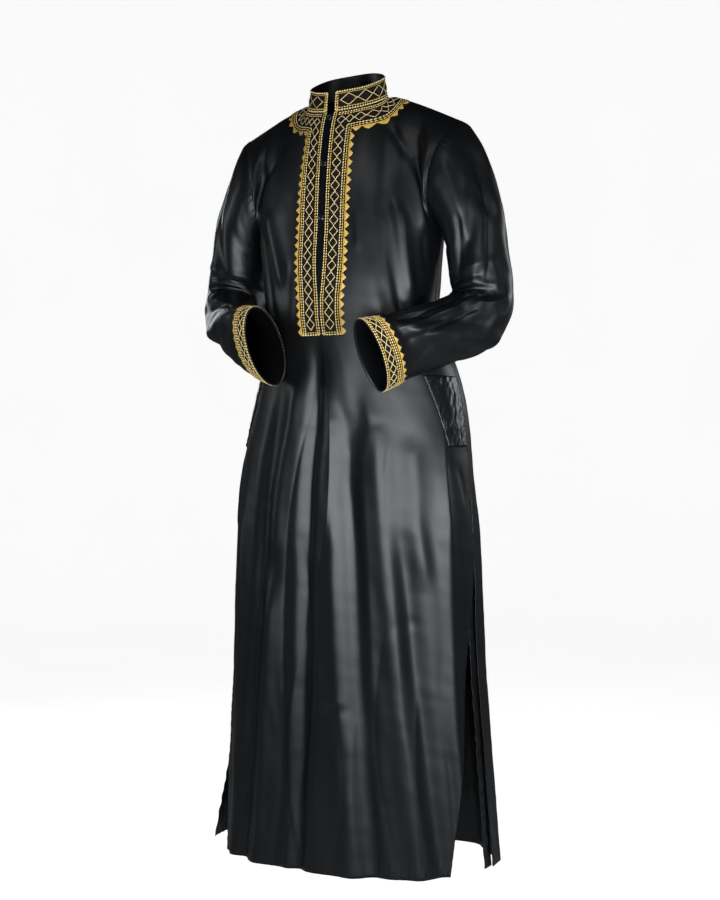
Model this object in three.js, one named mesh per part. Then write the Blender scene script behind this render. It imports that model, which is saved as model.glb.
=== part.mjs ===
// A long satin qamis, worn by nobody: hollow panels, two sleeves bent before the belly, an open stand
// collar, and bands of embroidery. Millimetres, +Z up. The front faces -Y and the wearer's left is +X.
// The origin is the middle of the neck's base, where the wearer carries the garment.
import * as THREE from 'three';

// Cloth
const WALL = 1.6; // satin with its turnings
const SEAM = 0.3; // between two pieces that are sewn edge to edge
const OVER = 0.45; // between a band and the panel it is sewn on, up to 0.9 where the panel is curved
const BAND_WALL = 1.5; // embroidered band
const COLLAR_WALL = 2.4;

// Neck and shoulders
const NECK = { half: 68, deep: 67, back: -5, lift: -4, slope: 0.43 }; // a tilted ellipse
const NECK_SIDE = 99; // degrees from the front, where the shoulder seam meets the neck
const SHOULDER = new THREE.Vector3(206, 13, -52); // tip of the left shoulder seam
const SHOULDER_RISE = 8; // of the shoulder seam over a straight line
const COLLAR_HEIGHT = 36;
const COLLAR_LEAN = 5; // the top edge lies this far inside the base

// Front opening
const SLIT = 6.25; // half the gap between the two strips
const SLIT_END = { z: -375, half: 1.2 };
const STRIP = 39; // width of a strip, without its teeth
const TOOTH = 5.5;
const STRIP_END = -420;
const BAND = 40; // width of the neck band, without its teeth
const CUFF_BAND = 40;

// Heights of the body's rows
const ARMPIT = -230;
const HEM = -1318;
const VENT_TOP = -800;
const ROWS = { yoke: 9, chest: 6, skirt: 18 };
const STRETCHES = [['yoke', 0, 9], ['chest', 9, 15], ['waist', 15, 21], ['skirt', 21, 27], ['hem', 27, 33]];
const SLEEVE_STRETCHES = [['upper', 0, 7], ['elbow', 7, 10], ['fore', 10, 13]];

// Columns of the front panel on one side: along the shoulder, round the neck, and the strip's own lines
const SHOULDER_COLUMNS = 9;
const NECK_COLUMNS = 3;
const STRIP_LINES = [SLIT, SLIT + STRIP / 2, SLIT + STRIP, SLIT + STRIP + TOOTH + 0.5];
const BACK_COLUMNS = { shoulder: 8, neck: 10 };

// Body sections: middle and half width, y of the front, the back and the side seam, squareness, how far
// each panel's edge has swung off the seam under the vents' tops (degrees), and the back corners' flare
const BODY = [
  { z: -230, middle: 0, half: 168, front: -108, back: 112, side: 16, square: 2.25, frontEdge: 0, flare: 0 },
  { z: -310, middle: 0, half: 159, front: -116, back: 120, side: 18, square: 2.25, frontEdge: 0, flare: 0 },
  { z: -400, middle: 2, half: 157, front: -117, back: 128, side: 20, square: 2.2, frontEdge: 0, flare: 0 },
  { z: -450, middle: 9, half: 171, front: -115, back: 137, side: 23, square: 2.15, frontEdge: 0, flare: 0 },
  { z: -500, middle: 10, half: 186, front: -113, back: 146, side: 25, square: 2.1, frontEdge: 0, flare: 0 },
  { z: -540, middle: 9, half: 195, front: -112, back: 152, side: 26, square: 2.1, frontEdge: 0, flare: 0 },
  { z: -640, middle: 2, half: 212, front: -114, back: 162, side: 26, square: 2.1, frontEdge: 0, flare: 0 },
  { z: -800, middle: 0, half: 224, front: -118, back: 170, side: 26, square: 2.1, frontEdge: 0.1, flare: 0 },
  { z: -960, middle: 0, half: 229, front: -122, back: 176, side: 28, square: 2.1, frontEdge: 13, flare: 1 },
  { z: -1140, middle: 2, half: 240, front: -127, back: 184, side: 30, square: 2.1, frontEdge: 23, flare: 10 },
  { z: -1318, middle: 3, half: 252, front: -132, back: 192, side: 32, square: 2.1, frontEdge: 33, flare: 34 },
];

// Main folds of the cloth: heights and angles of the two ends (degrees round from the left side, with the
// front at 90 and the back at 270), then the half width and height in mm. A negative height is a furrow.
const FOLDS = [
  // skirt, front, from the left side to the right
  { z0: -640, z1: -1318, a0: 26, a1: 24, width: 17, height: 6 },
  { z0: -760, z1: -1318, a0: 52, a1: 37, width: 18, height: -8 },
  { z0: -600, z1: -830, a0: 46, a1: 42, width: 16, height: 4 },
  { z0: -540, z1: -1318, a0: 65, a1: 49, width: 18, height: 8 },
  { z0: -600, z1: -1318, a0: 78, a1: 68.5, width: 17, height: -10 },
  { z0: -510, z1: -1318, a0: 87, a1: 77, width: 17, height: 8 },
  { z0: -480, z1: -1318, a0: 94, a1: 98.5, width: 12, height: -13 },
  { z0: -500, z1: -790, a0: 107, a1: 113, width: 14, height: 6 },
  { z0: -790, z1: -1318, a0: 104, a1: 107, width: 15, height: -5 },
  { z0: -840, z1: -1318, a0: 114, a1: 119, width: 14, height: 7 },
  { z0: -530, z1: -1318, a0: 119, a1: 129, width: 15, height: -8 },
  { z0: -700, z1: -1318, a0: 141, a1: 137, width: 17, height: 6 },
  // skirt, back, from the right side to the left
  { z0: -600, z1: -1318, a0: 200, a1: 197, width: 24, height: -9 },
  { z0: -560, z1: -1318, a0: 216, a1: 213, width: 22, height: 7 },
  { z0: -500, z1: -1318, a0: 229, a1: 232, width: 22, height: -11 },
  { z0: -640, z1: -1318, a0: 245, a1: 249, width: 24, height: 8 },
  { z0: -560, z1: -1318, a0: 261, a1: 265, width: 22, height: -9 },
  { z0: -480, z1: -1318, a0: 277, a1: 280, width: 24, height: 9 },
  { z0: -540, z1: -1318, a0: 292, a1: 296, width: 22, height: -11 },
  { z0: -680, z1: -1318, a0: 309, a1: 312, width: 22, height: 8 },
  { z0: -520, z1: -1318, a0: 324, a1: 328, width: 22, height: -9 },
  { z0: -700, z1: -1318, a0: 341, a1: 344, width: 24, height: 6 },
  // chest and back
  { z0: -200, z1: -350, a0: 46, a1: 28, width: 14, height: 5 },
  { z0: -190, z1: -385, a0: 54, a1: 35, width: 14, height: -5 },
  { z0: -110, z1: -240, a0: 34, a1: 22, width: 14, height: 5 },
  { z0: -60, z1: -190, a0: 52, a1: 12, width: 15, height: -4 },
  { z0: -60, z1: -190, a0: 128, a1: 168, width: 15, height: -4 },
  { z0: -200, z1: -330, a0: 133, a1: 116, width: 14, height: 5 },
  { z0: -230, z1: -390, a0: 144, a1: 128, width: 14, height: -5 },
  { z0: -150, z1: -430, a0: 236, a1: 226, width: 22, height: -6 },
  { z0: -190, z1: -470, a0: 258, a1: 264, width: 24, height: 5 },
  { z0: -170, z1: -440, a0: 300, a1: 311, width: 22, height: -6 },
];

// Sleeve rings from the upper arm to the wrist: centre, half sizes across and through the arm's bend, and
// the lean of the ring against the arm
const SLEEVES = {
  left: [
    { x: 228, y: 30, z: -270, across: 51, deep: 68, lean: 0 },
    { x: 234, y: 33, z: -318, across: 52, deep: 67, lean: 0 },
    { x: 237, y: 26, z: -364, across: 52, deep: 62, lean: 0 },
    { x: 230, y: 0, z: -394, across: 48, deep: 58, lean: 0 },
    { x: 211, y: -40, z: -411, across: 40, deep: 56, lean: 0 },
    { x: 184, y: -84, z: -427, across: 35, deep: 56, lean: 0.1 },
    { x: 150, y: -126, z: -443, across: 32, deep: 60, lean: 0.24 },
    { x: 137, y: -154, z: -452, across: 32, deep: 63, lean: 0.3 },
    { x: 124, y: -181, z: -460, across: 32, deep: 66, lean: 0.34 },
  ],
  right: [
    { x: -229, y: 30, z: -262, across: 52, deep: 68, lean: 0 },
    { x: -238, y: 34, z: -302, across: 53, deep: 67, lean: 0 },
    { x: -243, y: 28, z: -338, across: 54, deep: 62, lean: 0 },
    { x: -234, y: 2, z: -370, across: 50, deep: 59, lean: 0 },
    { x: -208, y: -40, z: -391, across: 41, deep: 57, lean: 0 },
    { x: -172, y: -84, z: -410, across: 35, deep: 62, lean: 0.02 },
    { x: -130, y: -126, z: -426, across: 32, deep: 66, lean: 0.04 },
    { x: -105, y: -145, z: -432, across: 32, deep: 70, lean: 0.05 },
    { x: -79, y: -160, z: -438, across: 32, deep: 73, lean: 0.06 },
  ],
};
const SHOULDER_ROUND = { left: 122, right: 92 }; // how boldly the sleeve's head swells over the arm

// Sleeve folds: rings and angles of the two ends (0 at the armpit's side, 180 outside), then the half
// width and height in mm. Rings above the first one in the tables are those of the sleeve's head.
const SLEEVE_FOLDS = [
  { side: 'left', r0: -2.5, r1: 1.2, a0: 205, a1: 300, width: 15, height: -6 },
  { side: 'left', r0: -1, r1: 2.6, a0: 190, a1: 188, width: 15, height: 4 },
  { side: 'left', r0: 1.9, r1: 2.6, a0: 235, a1: 310, width: 13, height: -6 },
  { side: 'left', r0: 7, r1: 5.6, a0: 262, a1: 215, width: 13, height: 5 },
  { side: 'left', r0: 5.6, r1: 3.2, a0: 215, a1: 150, width: 13, height: 6 },
  { side: 'left', r0: 5.4, r1: 3.4, a0: 245, a1: 195, width: 12, height: -5 },
  { side: 'right', r0: -2.5, r1: 0.8, a0: 160, a1: 85, width: 15, height: -6 },
  { side: 'right', r0: -1, r1: 2.4, a0: 168, a1: 176, width: 15, height: 4 },
  { side: 'right', r0: 1.8, r1: 2.5, a0: 150, a1: 60, width: 13, height: -6 },
  { side: 'right', r0: 6, r1: 3.4, a0: 120, a1: 190, width: 13, height: 6 },
  { side: 'right', r0: 5.2, r1: 2.9, a0: 90, a1: 150, width: 12, height: -5 },
];
const CUFF_ROWS = 2; // the last rows of a sleeve, which its band covers

// Small parts
const BUTTON = { radius: 5.2, edge: 2.2, dome: 1.8, sides: 16 };
const BUTTON_DROPS = [12, 97, 190]; // along the opening, from the neck
const POCKET = { top: -486, bottom: -606, topAngle: 34, bottomAngle: 22, columns: 7, rows: 5 };
const VENT_FACING = { angles: [-2.2, 0, 3.5, 7], depth: 2.8, slack: 0.06 }; // degrees from the side seam

const vec = (x, y, z) => new THREE.Vector3(x, y, z);
const radians = THREE.MathUtils.degToRad;
const smooth = (x, from, to) => THREE.MathUtils.smoothstep(x, from, to);
const mix = THREE.MathUtils.lerp;

// Every named column of a table at one value of its key, along a smooth curve through the rows.
function rowAt(table, key, value) {
  const sign = Math.sign(table.at(-1)[key] - table[0][key]);
  const last = table.length - 1;
  let k = 0;
  while (k < last - 1 && sign * (value - table[k + 1][key]) > 0) k += 1;
  const span = table[k + 1][key] - table[k][key];
  const t = THREE.MathUtils.clamp((value - table[k][key]) / span, 0, 1);
  const slope = (n, name) => {
    const a = table[Math.max(n - 1, 0)];
    const b = table[Math.min(n + 1, last)];
    return ((b[name] - a[name]) / (b[key] - a[key])) * span;
  };
  const found = {};
  for (const name of Object.keys(table[0])) {
    found[name] = cubic(table[k][name], slope(k, name), table[k + 1][name], slope(k + 1, name), t);
  }
  return found;
}

function cubic(p0, m0, p1, m1, t) {
  const t2 = t * t;
  const t3 = t2 * t;
  return (2 * t3 - 3 * t2 + 1) * p0 + (t3 - 2 * t2 + t) * m0 + (3 * t2 - 2 * t3) * p1 + (t3 - t2) * m1;
}

const cubicPoint = (p0, m0, p1, m1, t) =>
  vec(cubic(p0.x, m0.x, p1.x, m1.x, t), cubic(p0.y, m0.y, p1.y, m1.y, t), cubic(p0.z, m0.z, p1.z, m1.z, t));

// A grid of points on the cloth's outer face, row by row from the top, with its normals.
class Sheet {
  constructor(rows, wrap = false) {
    this.rows = rows;
    this.wrap = wrap;
    this.columns = rows[0].length - (wrap ? 0 : 1);
    this.findNormals();
  }

  index(column) {
    return this.wrap ? (column + this.columns) % this.columns : Math.min(Math.max(column, 0), this.columns);
  }

  findNormals() {
    const last = this.rows.length - 1;
    this.normals = this.rows.map((row, j) => row.map((_, i) => {
      const above = this.rows[Math.max(j - 1, 0)][i];
      const below = this.rows[Math.min(j + 1, last)][i];
      const across = row[this.index(i + 1)].clone().sub(row[this.index(i - 1)]);
      return across.cross(below.clone().sub(above)).normalize();
    }));
  }

  // A point and normal between the grid's lines, moved out by so much.
  at(row, column, out = 0) {
    const j = Math.min(Math.floor(row), this.rows.length - 2);
    const i = this.wrap ? Math.floor(column) : Math.min(Math.floor(column), this.columns - 1);
    const blend = (grid) => {
      const side = (k) => grid[k][this.index(i)].clone().lerp(grid[k][this.index(i + 1)], column - i);
      return side(j).lerp(side(j + 1), row - j);
    };
    const normal = blend(this.normals).normalize();
    return { point: blend(this.rows).addScaledVector(normal, out), normal };
  }

  // The stretch from one of its rows to another, which ends a seam's gap short of the next stretch.
  stretch(from, to) {
    const part = new Sheet(this.rows.slice(from, to + 1).map((row) => row.map((p) => p.clone())), this.wrap);
    part.normals = this.normals.slice(from, to + 1);
    if (to < this.rows.length - 1) {
      const above = part.rows.at(-2);
      part.rows.at(-1).forEach((p, i) => p.addScaledVector(above[i].clone().sub(p).normalize(), SEAM));
    }
    return part;
  }

  // A closed wall on this grid between two distances along the normals, where the cells are kept.
  solid(outer = 0, inner = -WALL, keep = () => true) {
    const down = this.rows.length - 1;
    const across = this.columns;
    const line = this.rows[0].length;
    const positions = [];
    for (const distance of [outer, inner]) {
      this.rows.forEach((row, j) => row.forEach((p, i) => {
        positions.push(...p.clone().addScaledVector(this.normals[j][i], distance).toArray());
      }));
    }
    const back = line * (down + 1);
    const at = (j, i) => j * line + (this.wrap ? i % line : i);
    const kept = (j, i) => {
      if (this.wrap) return j >= 0 && j < down && keep(j, (i + across) % across);
      return j >= 0 && j < down && i >= 0 && i < across && keep(j, i);
    };
    const faces = [];
    const quad = (a, b, c, d) => faces.push(a, c, b, a, d, c);
    for (let j = 0; j < down; j += 1) {
      for (let i = 0; i < across; i += 1) {
        if (!kept(j, i)) continue;
        const [a, b, c, d] = [at(j, i), at(j, i + 1), at(j + 1, i + 1), at(j + 1, i)];
        quad(a, d, c, b);
        quad(a + back, b + back, c + back, d + back);
        if (!kept(j - 1, i)) quad(a, b, b + back, a + back);
        if (!kept(j + 1, i)) quad(c, d, d + back, c + back);
        if (!kept(j, i - 1)) quad(d, a, a + back, d + back);
        if (!kept(j, i + 1)) quad(b, c, c + back, b + back);
      }
    }
    return closedGeometry(positions, faces);
  }
}

// An indexed geometry with only the points that its faces use.
function closedGeometry(positions, faces) {
  const place = new Map();
  const points = [];
  const index = faces.map((n) => {
    if (!place.has(n)) {
      place.set(n, points.length / 3);
      points.push(positions[3 * n], positions[3 * n + 1], positions[3 * n + 2]);
    }
    return place.get(n);
  });
  const geometry = new THREE.BufferGeometry();
  geometry.setAttribute('position', new THREE.Float32BufferAttribute(points, 3));
  geometry.setIndex(index);
  geometry.computeVertexNormals();
  return geometry;
}

// How far the folds lift the cloth at an angle (degrees) and a height.
function foldLift(angle, z, radius) {
  let lift = 0;
  for (const fold of FOLDS) {
    const t = (z - fold.z0) / (fold.z1 - fold.z0);
    if (t < -0.1 || t > 1.1) continue;
    const middle = mix(fold.a0, fold.a1, t);
    const away = (radians(angle - middle) * radius) / fold.width;
    const fade = smooth(t, -0.1, 0.12) * (fold.z1 <= HEM ? 1 : 1 - smooth(t, 0.88, 1.1));
    lift += fold.height * fade * Math.exp(-away * away);
  }
  return lift;
}

// A point of the body's section, at an angle in degrees from the left side, with its folds. The back
// panel's right corner is flared.
function bodyPoint(z, angle, flared = angle >= 180) {
  const s = rowAt(BODY, 'z', z);
  const c = Math.cos(radians(angle));
  const q = Math.sin(radians(angle));
  const depth = q >= 0 ? s.side - s.front : s.back - s.side;
  const power = 2 / s.square;
  const flare = flared ? s.flare * (1 - smooth(angle, 180, 215)) : 0;
  const normal = vec(c / s.half, -q / depth, 0).normalize();
  const lift = foldLift(angle, z, (s.half + depth) / 2) + flare;
  const x = s.middle + s.half * Math.sign(c) * Math.abs(c) ** power;
  const y = s.side - depth * Math.sign(q) * Math.abs(q) ** power;
  return vec(x, y, z).addScaledVector(normal, lift);
}

function neckPoint(degreesFromFront) {
  const a = radians(degreesFromFront);
  const y = NECK.back - NECK.deep * Math.cos(a);
  return vec(NECK.half * Math.sin(a), y, NECK.lift + NECK.slope * y);
}

const neckAngle = (x) => THREE.MathUtils.radToDeg(Math.asin(x / NECK.half));
const mirrored = (p) => vec(-p.x, p.y, p.z);

// Half the slit between the strips: parallel, then drawn together to a V, then plain cloth.
function slitHalf(z) {
  const closed = mix(SLIT, SLIT_END.half, smooth(-z, 290, -SLIT_END.z));
  return mix(closed, 11, smooth(-z, -STRIP_END, 700));
}

// The angles of the front panel's lines at a height, from the left side to the right.
function frontAngles(z) {
  const s = rowAt(BODY, 'z', z);
  const spread = mix(1, 1.75, smooth(-z, -STRIP_END, 1100));
  const inner = slitHalf(z);
  const lines = STRIP_LINES.map((x) => inner + ((x - SLIT) * spread));
  const angleOf = (x) => THREE.MathUtils.radToDeg(Math.acos((x / s.half) ** (s.square / 2)));
  const strip = lines.map(angleOf).reverse();
  const edge = Math.max(s.frontEdge, 0);
  const outer = SHOULDER_COLUMNS + NECK_COLUMNS;
  const left = [];
  for (let i = 0; i < outer; i += 1) left.push(mix(edge, strip[0], i / outer));
  left.push(...strip);
  return [...left, ...left.map((a) => 180 - a).reverse()];
}

function backAngles() {
  const count = 2 * BACK_COLUMNS.shoulder + BACK_COLUMNS.neck;
  return Array.from({ length: count + 1 }, (_, i) => mix(180, 360, i / count));
}

// The top edge of a panel's left half, from the shoulder's tip to the middle.
function topEdge(shoulderColumns, neckAngles) {
  const neck = neckPoint(NECK_SIDE);
  const points = [];
  for (let i = 0; i < shoulderColumns; i += 1) {
    const t = i / shoulderColumns;
    const rise = SHOULDER_RISE * Math.sin(Math.PI * (1 - t) ** 0.6);
    points.push(SHOULDER.clone().lerp(neck, t).add(vec(0, 0, rise)));
  }
  return [...points, ...neckAngles.map(neckPoint)];
}

// The yoke: smooth columns from the row under the arms to the top edge. `tangents` gives the direction in
// which a column leaves the armpit's row and the one in which it reaches the top.
function yokeRows(bottom, top, tangents, neckLine, fixedLine, rounds) {
  let rows = [];
  for (let j = 0; j <= ROWS.yoke; j += 1) {
    const t = 1 - j / ROWS.yoke;
    rows.push(bottom.map((p, i) => cubicPoint(p, tangents[i][0], top[i], tangents[i][1], t)));
  }
  for (let round = 0; round < rounds; round += 1) rows = relax(rows, neckLine, fixedLine);
  return rows.slice(0, -1).map((row, j) => row.map((point, i) => {
    const [{ angle }, p] = [tangents[i], bottom[i]];
    const lift = foldLift(angle, point.z, 150) - foldLift(angle, ARMPIT, 150);
    const direction = vec(p.x / 170, (p.y - 18) / 120, 0).normalize();
    return point.clone().addScaledVector(direction, lift * smooth(j, 0, 3) * smooth(ROWS.yoke - j, 0, 1.4));
  }));
}

// One round of easing a yoke's grid round the neck's two sides, where its columns come from outside. The
// lines from `fixedLine` inwards stay straight.
function relax(rows, neckLine, fixedLine) {
  const last = rows[0].length - 1;
  return rows.map((row, j) => row.map((p, i) => {
    const line = Math.min(i, last - i);
    const share = 0.5 * (1 - smooth(Math.abs(line - neckLine - 0.5), 1.5, 5)) * (1 - smooth(j, 4, 8));
    if (j === 0 || share === 0 || line >= fixedLine) return p;
    const mean = vec(0, 0, 0);
    for (const q of [row[i - 1], row[i + 1], rows[j - 1][i], rows[j + 1][i]]) mean.addScaledVector(q, 0.25);
    return p.clone().lerp(mean, share);
  }));
}

const EDGE_TANGENTS = {
  front: [vec(-34, -262, 62), vec(104, 250, 120)],
  back: [vec(-30, 236, 62), vec(70, -190, 110)],
};

// How a column reaches the top edge, from two lines before the neck's side to the middle: along the
// shoulder's ridge, then from outside over the neck's side, then up to the neck from the chest or the back
const NECK_REACH = {
  front: [
    { x: -35, y: 140, z: 28 }, { x: -65, y: 120, z: 25 }, { x: -92, y: 92, z: 24 },
    { x: -88, y: 78, z: 46 }, { x: -50, y: 74, z: 82 }, { x: 0, y: 74, z: 112 },
  ],
  back: [
    { x: -35, y: -135, z: 28 }, { x: -65, y: -115, z: 25 }, { x: -92, y: -85, z: 26 },
    { x: -78, y: -84, z: 48 }, { x: -52, y: -88, z: 78 }, { x: -28, y: -90, z: 106 },
    { x: -12, y: -92, z: 122 }, { x: 0, y: -92, z: 128 },
  ],
};

// Tangents across a panel: the armhole's own at its edge, upright cloth and a level ridge further in.
function yokeTangents(panel, angles, shoulderColumns) {
  const forward = panel === 'front' ? 1 : -1;
  const last = angles.length - 1;
  return angles.map((angle, k) => {
    const i = Math.min(k, last - k);
    const side = k <= last - k ? 1 : -1;
    const inward = smooth(i, 0, 5);
    const table = NECK_REACH[panel];
    const found = table[Math.min(i - shoulderColumns + 2, table.length - 1)];
    const [edgeLeave, edgeReach] = EDGE_TANGENTS[panel];
    const leave = edgeLeave.clone().lerp(vec(0, 10 * forward, 200), inward);
    const ridge = found ? vec(found.x, found.y, found.z) : vec(0, 150 * forward, 30);
    const reach = edgeReach.clone().lerp(ridge, inward);
    const pair = [leave, reach].map((v) => vec(v.x * side, v.y, v.z));
    pair.angle = angle;
    return pair;
  });
}

const lowerHeights = [];
for (let j = 0; j <= ROWS.chest; j += 1) lowerHeights.push(mix(ARMPIT, STRIP_END, j / ROWS.chest));
for (let j = 1; j <= ROWS.skirt; j += 1) lowerHeights.push(mix(STRIP_END, HEM, j / ROWS.skirt));

function frontSheet() {
  const lower = lowerHeights.map((z) => frontAngles(z).map((a) => bodyPoint(z, a)));
  const strip = STRIP_LINES.map(neckAngle).reverse();
  const round = Array.from({ length: NECK_COLUMNS }, (_, i) => mix(NECK_SIDE, strip[0], i / NECK_COLUMNS));
  const half = topEdge(SHOULDER_COLUMNS, [...round, ...strip]);
  const top = [...half, ...half.map(mirrored).reverse()];
  const tangents = yokeTangents('front', frontAngles(ARMPIT), SHOULDER_COLUMNS);
  const stripLine = SHOULDER_COLUMNS + NECK_COLUMNS;
  return new Sheet([...yokeRows(lower[0], top, tangents, SHOULDER_COLUMNS, stripLine, 4), ...lower]);
}

function backSheet() {
  const lower = lowerHeights.map((z) => backAngles().map((a) => bodyPoint(z, a)));
  const count = BACK_COLUMNS.neck;
  const round = Array.from({ length: count / 2 + 1 }, (_, i) => mix(NECK_SIDE, 180, (2 * i) / count));
  const half = topEdge(BACK_COLUMNS.shoulder, round);
  const top = [...half.map(mirrored), ...half.slice(0, -1).reverse()];
  const tangents = yokeTangents('back', backAngles(), BACK_COLUMNS.shoulder);
  tangents.forEach((pair) => pair.slice(0, 2).forEach((v) => { v.x = -v.x; }));
  const { shoulder, neck } = BACK_COLUMNS;
  return new Sheet([...yokeRows(lower[0], top, tangents, shoulder, shoulder + neck, 0), ...lower]);
}

// A sleeve: a cap from the armhole to the first ring, then rings along the bent arm.
function sleeveSheet(side, armhole) {
  const rings = SLEEVES[side];
  const sign = side === 'left' ? 1 : -1;
  const centres = rings.map((r) => vec(r.x, r.y, r.z));
  const path = new THREE.CatmullRomCurve3(centres, false, 'centripetal');
  let outward = vec(sign, 0, 0);
  let forward = vec(0, -1, 0);
  let along = vec(0, 0, -1);
  const rows = rings.map((ring, k) => {
    const next = path.getTangent(k / (rings.length - 1));
    const turn = new THREE.Quaternion().setFromUnitVectors(along, next);
    outward.applyQuaternion(turn);
    forward.applyQuaternion(turn);
    along = next;
    return armhole.map((_, n) => {
      const a = (2 * Math.PI * n) / armhole.length;
      const deep = -sign * Math.sin(a) * ring.deep;
      return centres[k].clone()
        .addScaledVector(outward, -Math.cos(a) * ring.across)
        .addScaledVector(forward, deep)
        .addScaledVector(along, ring.lean * deep);
    });
  });
  const cap = [0, 0.12, 0.3, 0.5, 0.75].map((t) => armhole.map((p, n) => {
    const a = (2 * Math.PI * n) / armhole.length;
    const top = (1 - Math.cos(a)) / 2; // 0 at the armpit, 1 at the shoulder's tip
    const leave = vec(sign * mix(36, SHOULDER_ROUND[side], top), sign * Math.sin(a) * 24, mix(-14, -26, top));
    return cubicPoint(p, leave, rows[0][n], vec(0, 0, mix(-40, -190, top)), t);
  }));
  const sheet = new Sheet([...cap, ...rows], true);
  const folded = sheet.rows.map((row, j) => row.map((p, n) => {
    const lift = sleeveLift(side, j - cap.length, (360 * n) / row.length) * smooth(j, 0, 2);
    return p.clone().addScaledVector(sheet.normals[j][n], lift);
  }));
  return new Sheet(folded, true);
}

// How far a sleeve's folds lift it, by the distance from each fold's line on the unrolled sleeve.
function sleeveLift(side, ring, angle) {
  const [ringStep, roundStep] = [34, 1.05]; // mm from ring to ring, and for each degree round
  let lift = 0;
  for (const fold of SLEEVE_FOLDS) {
    if (fold.side !== side) continue;
    const from = new THREE.Vector2(fold.r0 * ringStep, fold.a0 * roundStep);
    const line = new THREE.Vector2(fold.r1 * ringStep, fold.a1 * roundStep).sub(from);
    const spot = new THREE.Vector2(ring * ringStep, angle * roundStep).sub(from);
    const t = THREE.MathUtils.clamp(spot.dot(line) / line.lengthSq(), 0, 1);
    const away = spot.distanceTo(line.multiplyScalar(t)) / fold.width;
    lift += fold.height * Math.exp(-away * away);
  }
  return lift * (1 - smooth(ring, 5.5, 6.5));
}

// Sheets that meet share their normals along the seam, and stand back from it by half the gap.
function joinEdges(lines) {
  for (const line of lines) {
    const shared = vec(0, 0, 0);
    line.forEach(({ sheet, j, i }) => shared.add(sheet.normals[j][i]));
    shared.normalize();
    line.forEach(({ sheet, j, i }) => sheet.normals[j][i].copy(shared));
  }
}

function standBack(sheet, j, i, towards, distance = SEAM / 2 + 0.05) {
  const point = sheet.rows[j][i];
  const normal = sheet.normals[j][i];
  const inward = sheet.rows[towards.j][towards.i].clone().sub(point);
  inward.addScaledVector(normal, -inward.dot(normal)).normalize();
  point.addScaledVector(inward, distance);
}

const front = frontSheet();
const back = backSheet();
const frontLast = front.columns;
const backLast = back.columns;

// The armhole's points, first the armpit, then round in the order of the sleeve's columns
function armholePoints(side) {
  const [frontLine, backLine] = side === 'left' ? [0, backLast] : [frontLast, 0];
  const n = ROWS.yoke;
  const up = Array.from({ length: n }, (_, k) => n - k);
  const frontUp = up.map((j) => ({ sheet: front, j, i: frontLine }));
  const backUp = up.map((j) => ({ sheet: back, j, i: backLine }));
  const tip = side === 'left' ? { sheet: front, j: 0, i: 0 } : { sheet: back, j: 0, i: 0 };
  const [first, second] = side === 'left' ? [backUp, frontUp] : [frontUp, backUp];
  return [...first, tip, ...second.slice(1).reverse()];
}

const pointOf = ({ sheet, j, i }) => sheet.rows[j][i].clone();
const armholes = { left: armholePoints('left'), right: armholePoints('right') };
const sleeves = {
  left: sleeveSheet('left', armholes.left.map(pointOf)),
  right: sleeveSheet('right', armholes.right.map(pointOf)),
};

// Side seams, then armholes, then shoulders
const seamLines = [];
for (let j = ROWS.yoke + 1; j < front.rows.length; j += 1) {
  if (lowerHeights[j - ROWS.yoke] < VENT_TOP) continue;
  seamLines.push([{ sheet: front, j, i: 0 }, { sheet: back, j, i: backLast }]);
  seamLines.push([{ sheet: front, j, i: frontLast }, { sheet: back, j, i: 0 }]);
}
for (const side of ['left', 'right']) {
  const [frontLine, backLine] = side === 'left' ? [0, backLast] : [frontLast, 0];
  armholes[side].forEach((found, n) => {
    const both = [{ sheet: front, j: found.j, i: frontLine }, { sheet: back, j: found.j, i: backLine }];
    const panels = found.j === 0 || found.j === ROWS.yoke ? both : [found];
    const facing = sleeves[side].normals[0][n].dot(found.sheet.normals[found.j][found.i]);
    // Under the arm the sleeve turns back against the body, so there the walls lie either side of the seam
    seamLines.push(facing > 0.35 ? [{ sheet: sleeves[side], j: 0, i: n }, ...panels] : panels);
  });
}
joinEdges(seamLines);
for (const side of [1, -1]) {
  for (let i = 1; i <= SHOULDER_COLUMNS; i += 1) {
    const k = side > 0 ? i : frontLast - i;
    const m = (i * BACK_COLUMNS.shoulder) / SHOULDER_COLUMNS;
    const other = back.at(0, side > 0 ? backLast - m : m).normal;
    front.normals[0][k].add(other).normalize();
  }
  for (let i = 1; i <= BACK_COLUMNS.shoulder; i += 1) {
    const m = (i * SHOULDER_COLUMNS) / BACK_COLUMNS.shoulder;
    back.normals[0][side > 0 ? backLast - i : i].copy(front.at(0, side > 0 ? m : frontLast - m).normal);
  }
}
for (const [sheet, edge] of [[front, SHOULDER_COLUMNS], [back, BACK_COLUMNS.shoulder]]) {
  const last = sheet.columns;
  for (let j = 0; j < sheet.rows.length; j += 1) {
    standBack(sheet, j, 0, { j, i: 1 });
    standBack(sheet, j, last, { j, i: last - 1 });
  }
  for (let i = 0; i <= edge; i += 1) {
    standBack(sheet, 0, i, { j: 1, i });
    standBack(sheet, 0, last - i, { j: 1, i: last - i });
  }
}
for (const side of ['left', 'right']) {
  armholes[side].forEach((_, n) => standBack(sleeves[side], 0, n, { j: 1, i: n }));
}

// The strips, the fly and the bands

// A band on a sheet: `place(row, column)` gives its point in the sheet's own rows and columns.
function bandSheet(sheet, rows, columns, place, out = OVER, wrap = false) {
  const grid = [];
  const normals = [];
  for (let r = 0; r <= rows; r += 1) {
    const found = Array.from({ length: columns + (wrap ? 0 : 1) }, (_, c) => sheet.at(...place(r, c), out));
    grid.push(found.map((f) => f.point));
    normals.push(found.map((f) => f.normal));
  }
  const band = new Sheet(grid, wrap);
  band.normals = normals;
  return band;
}

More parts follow.
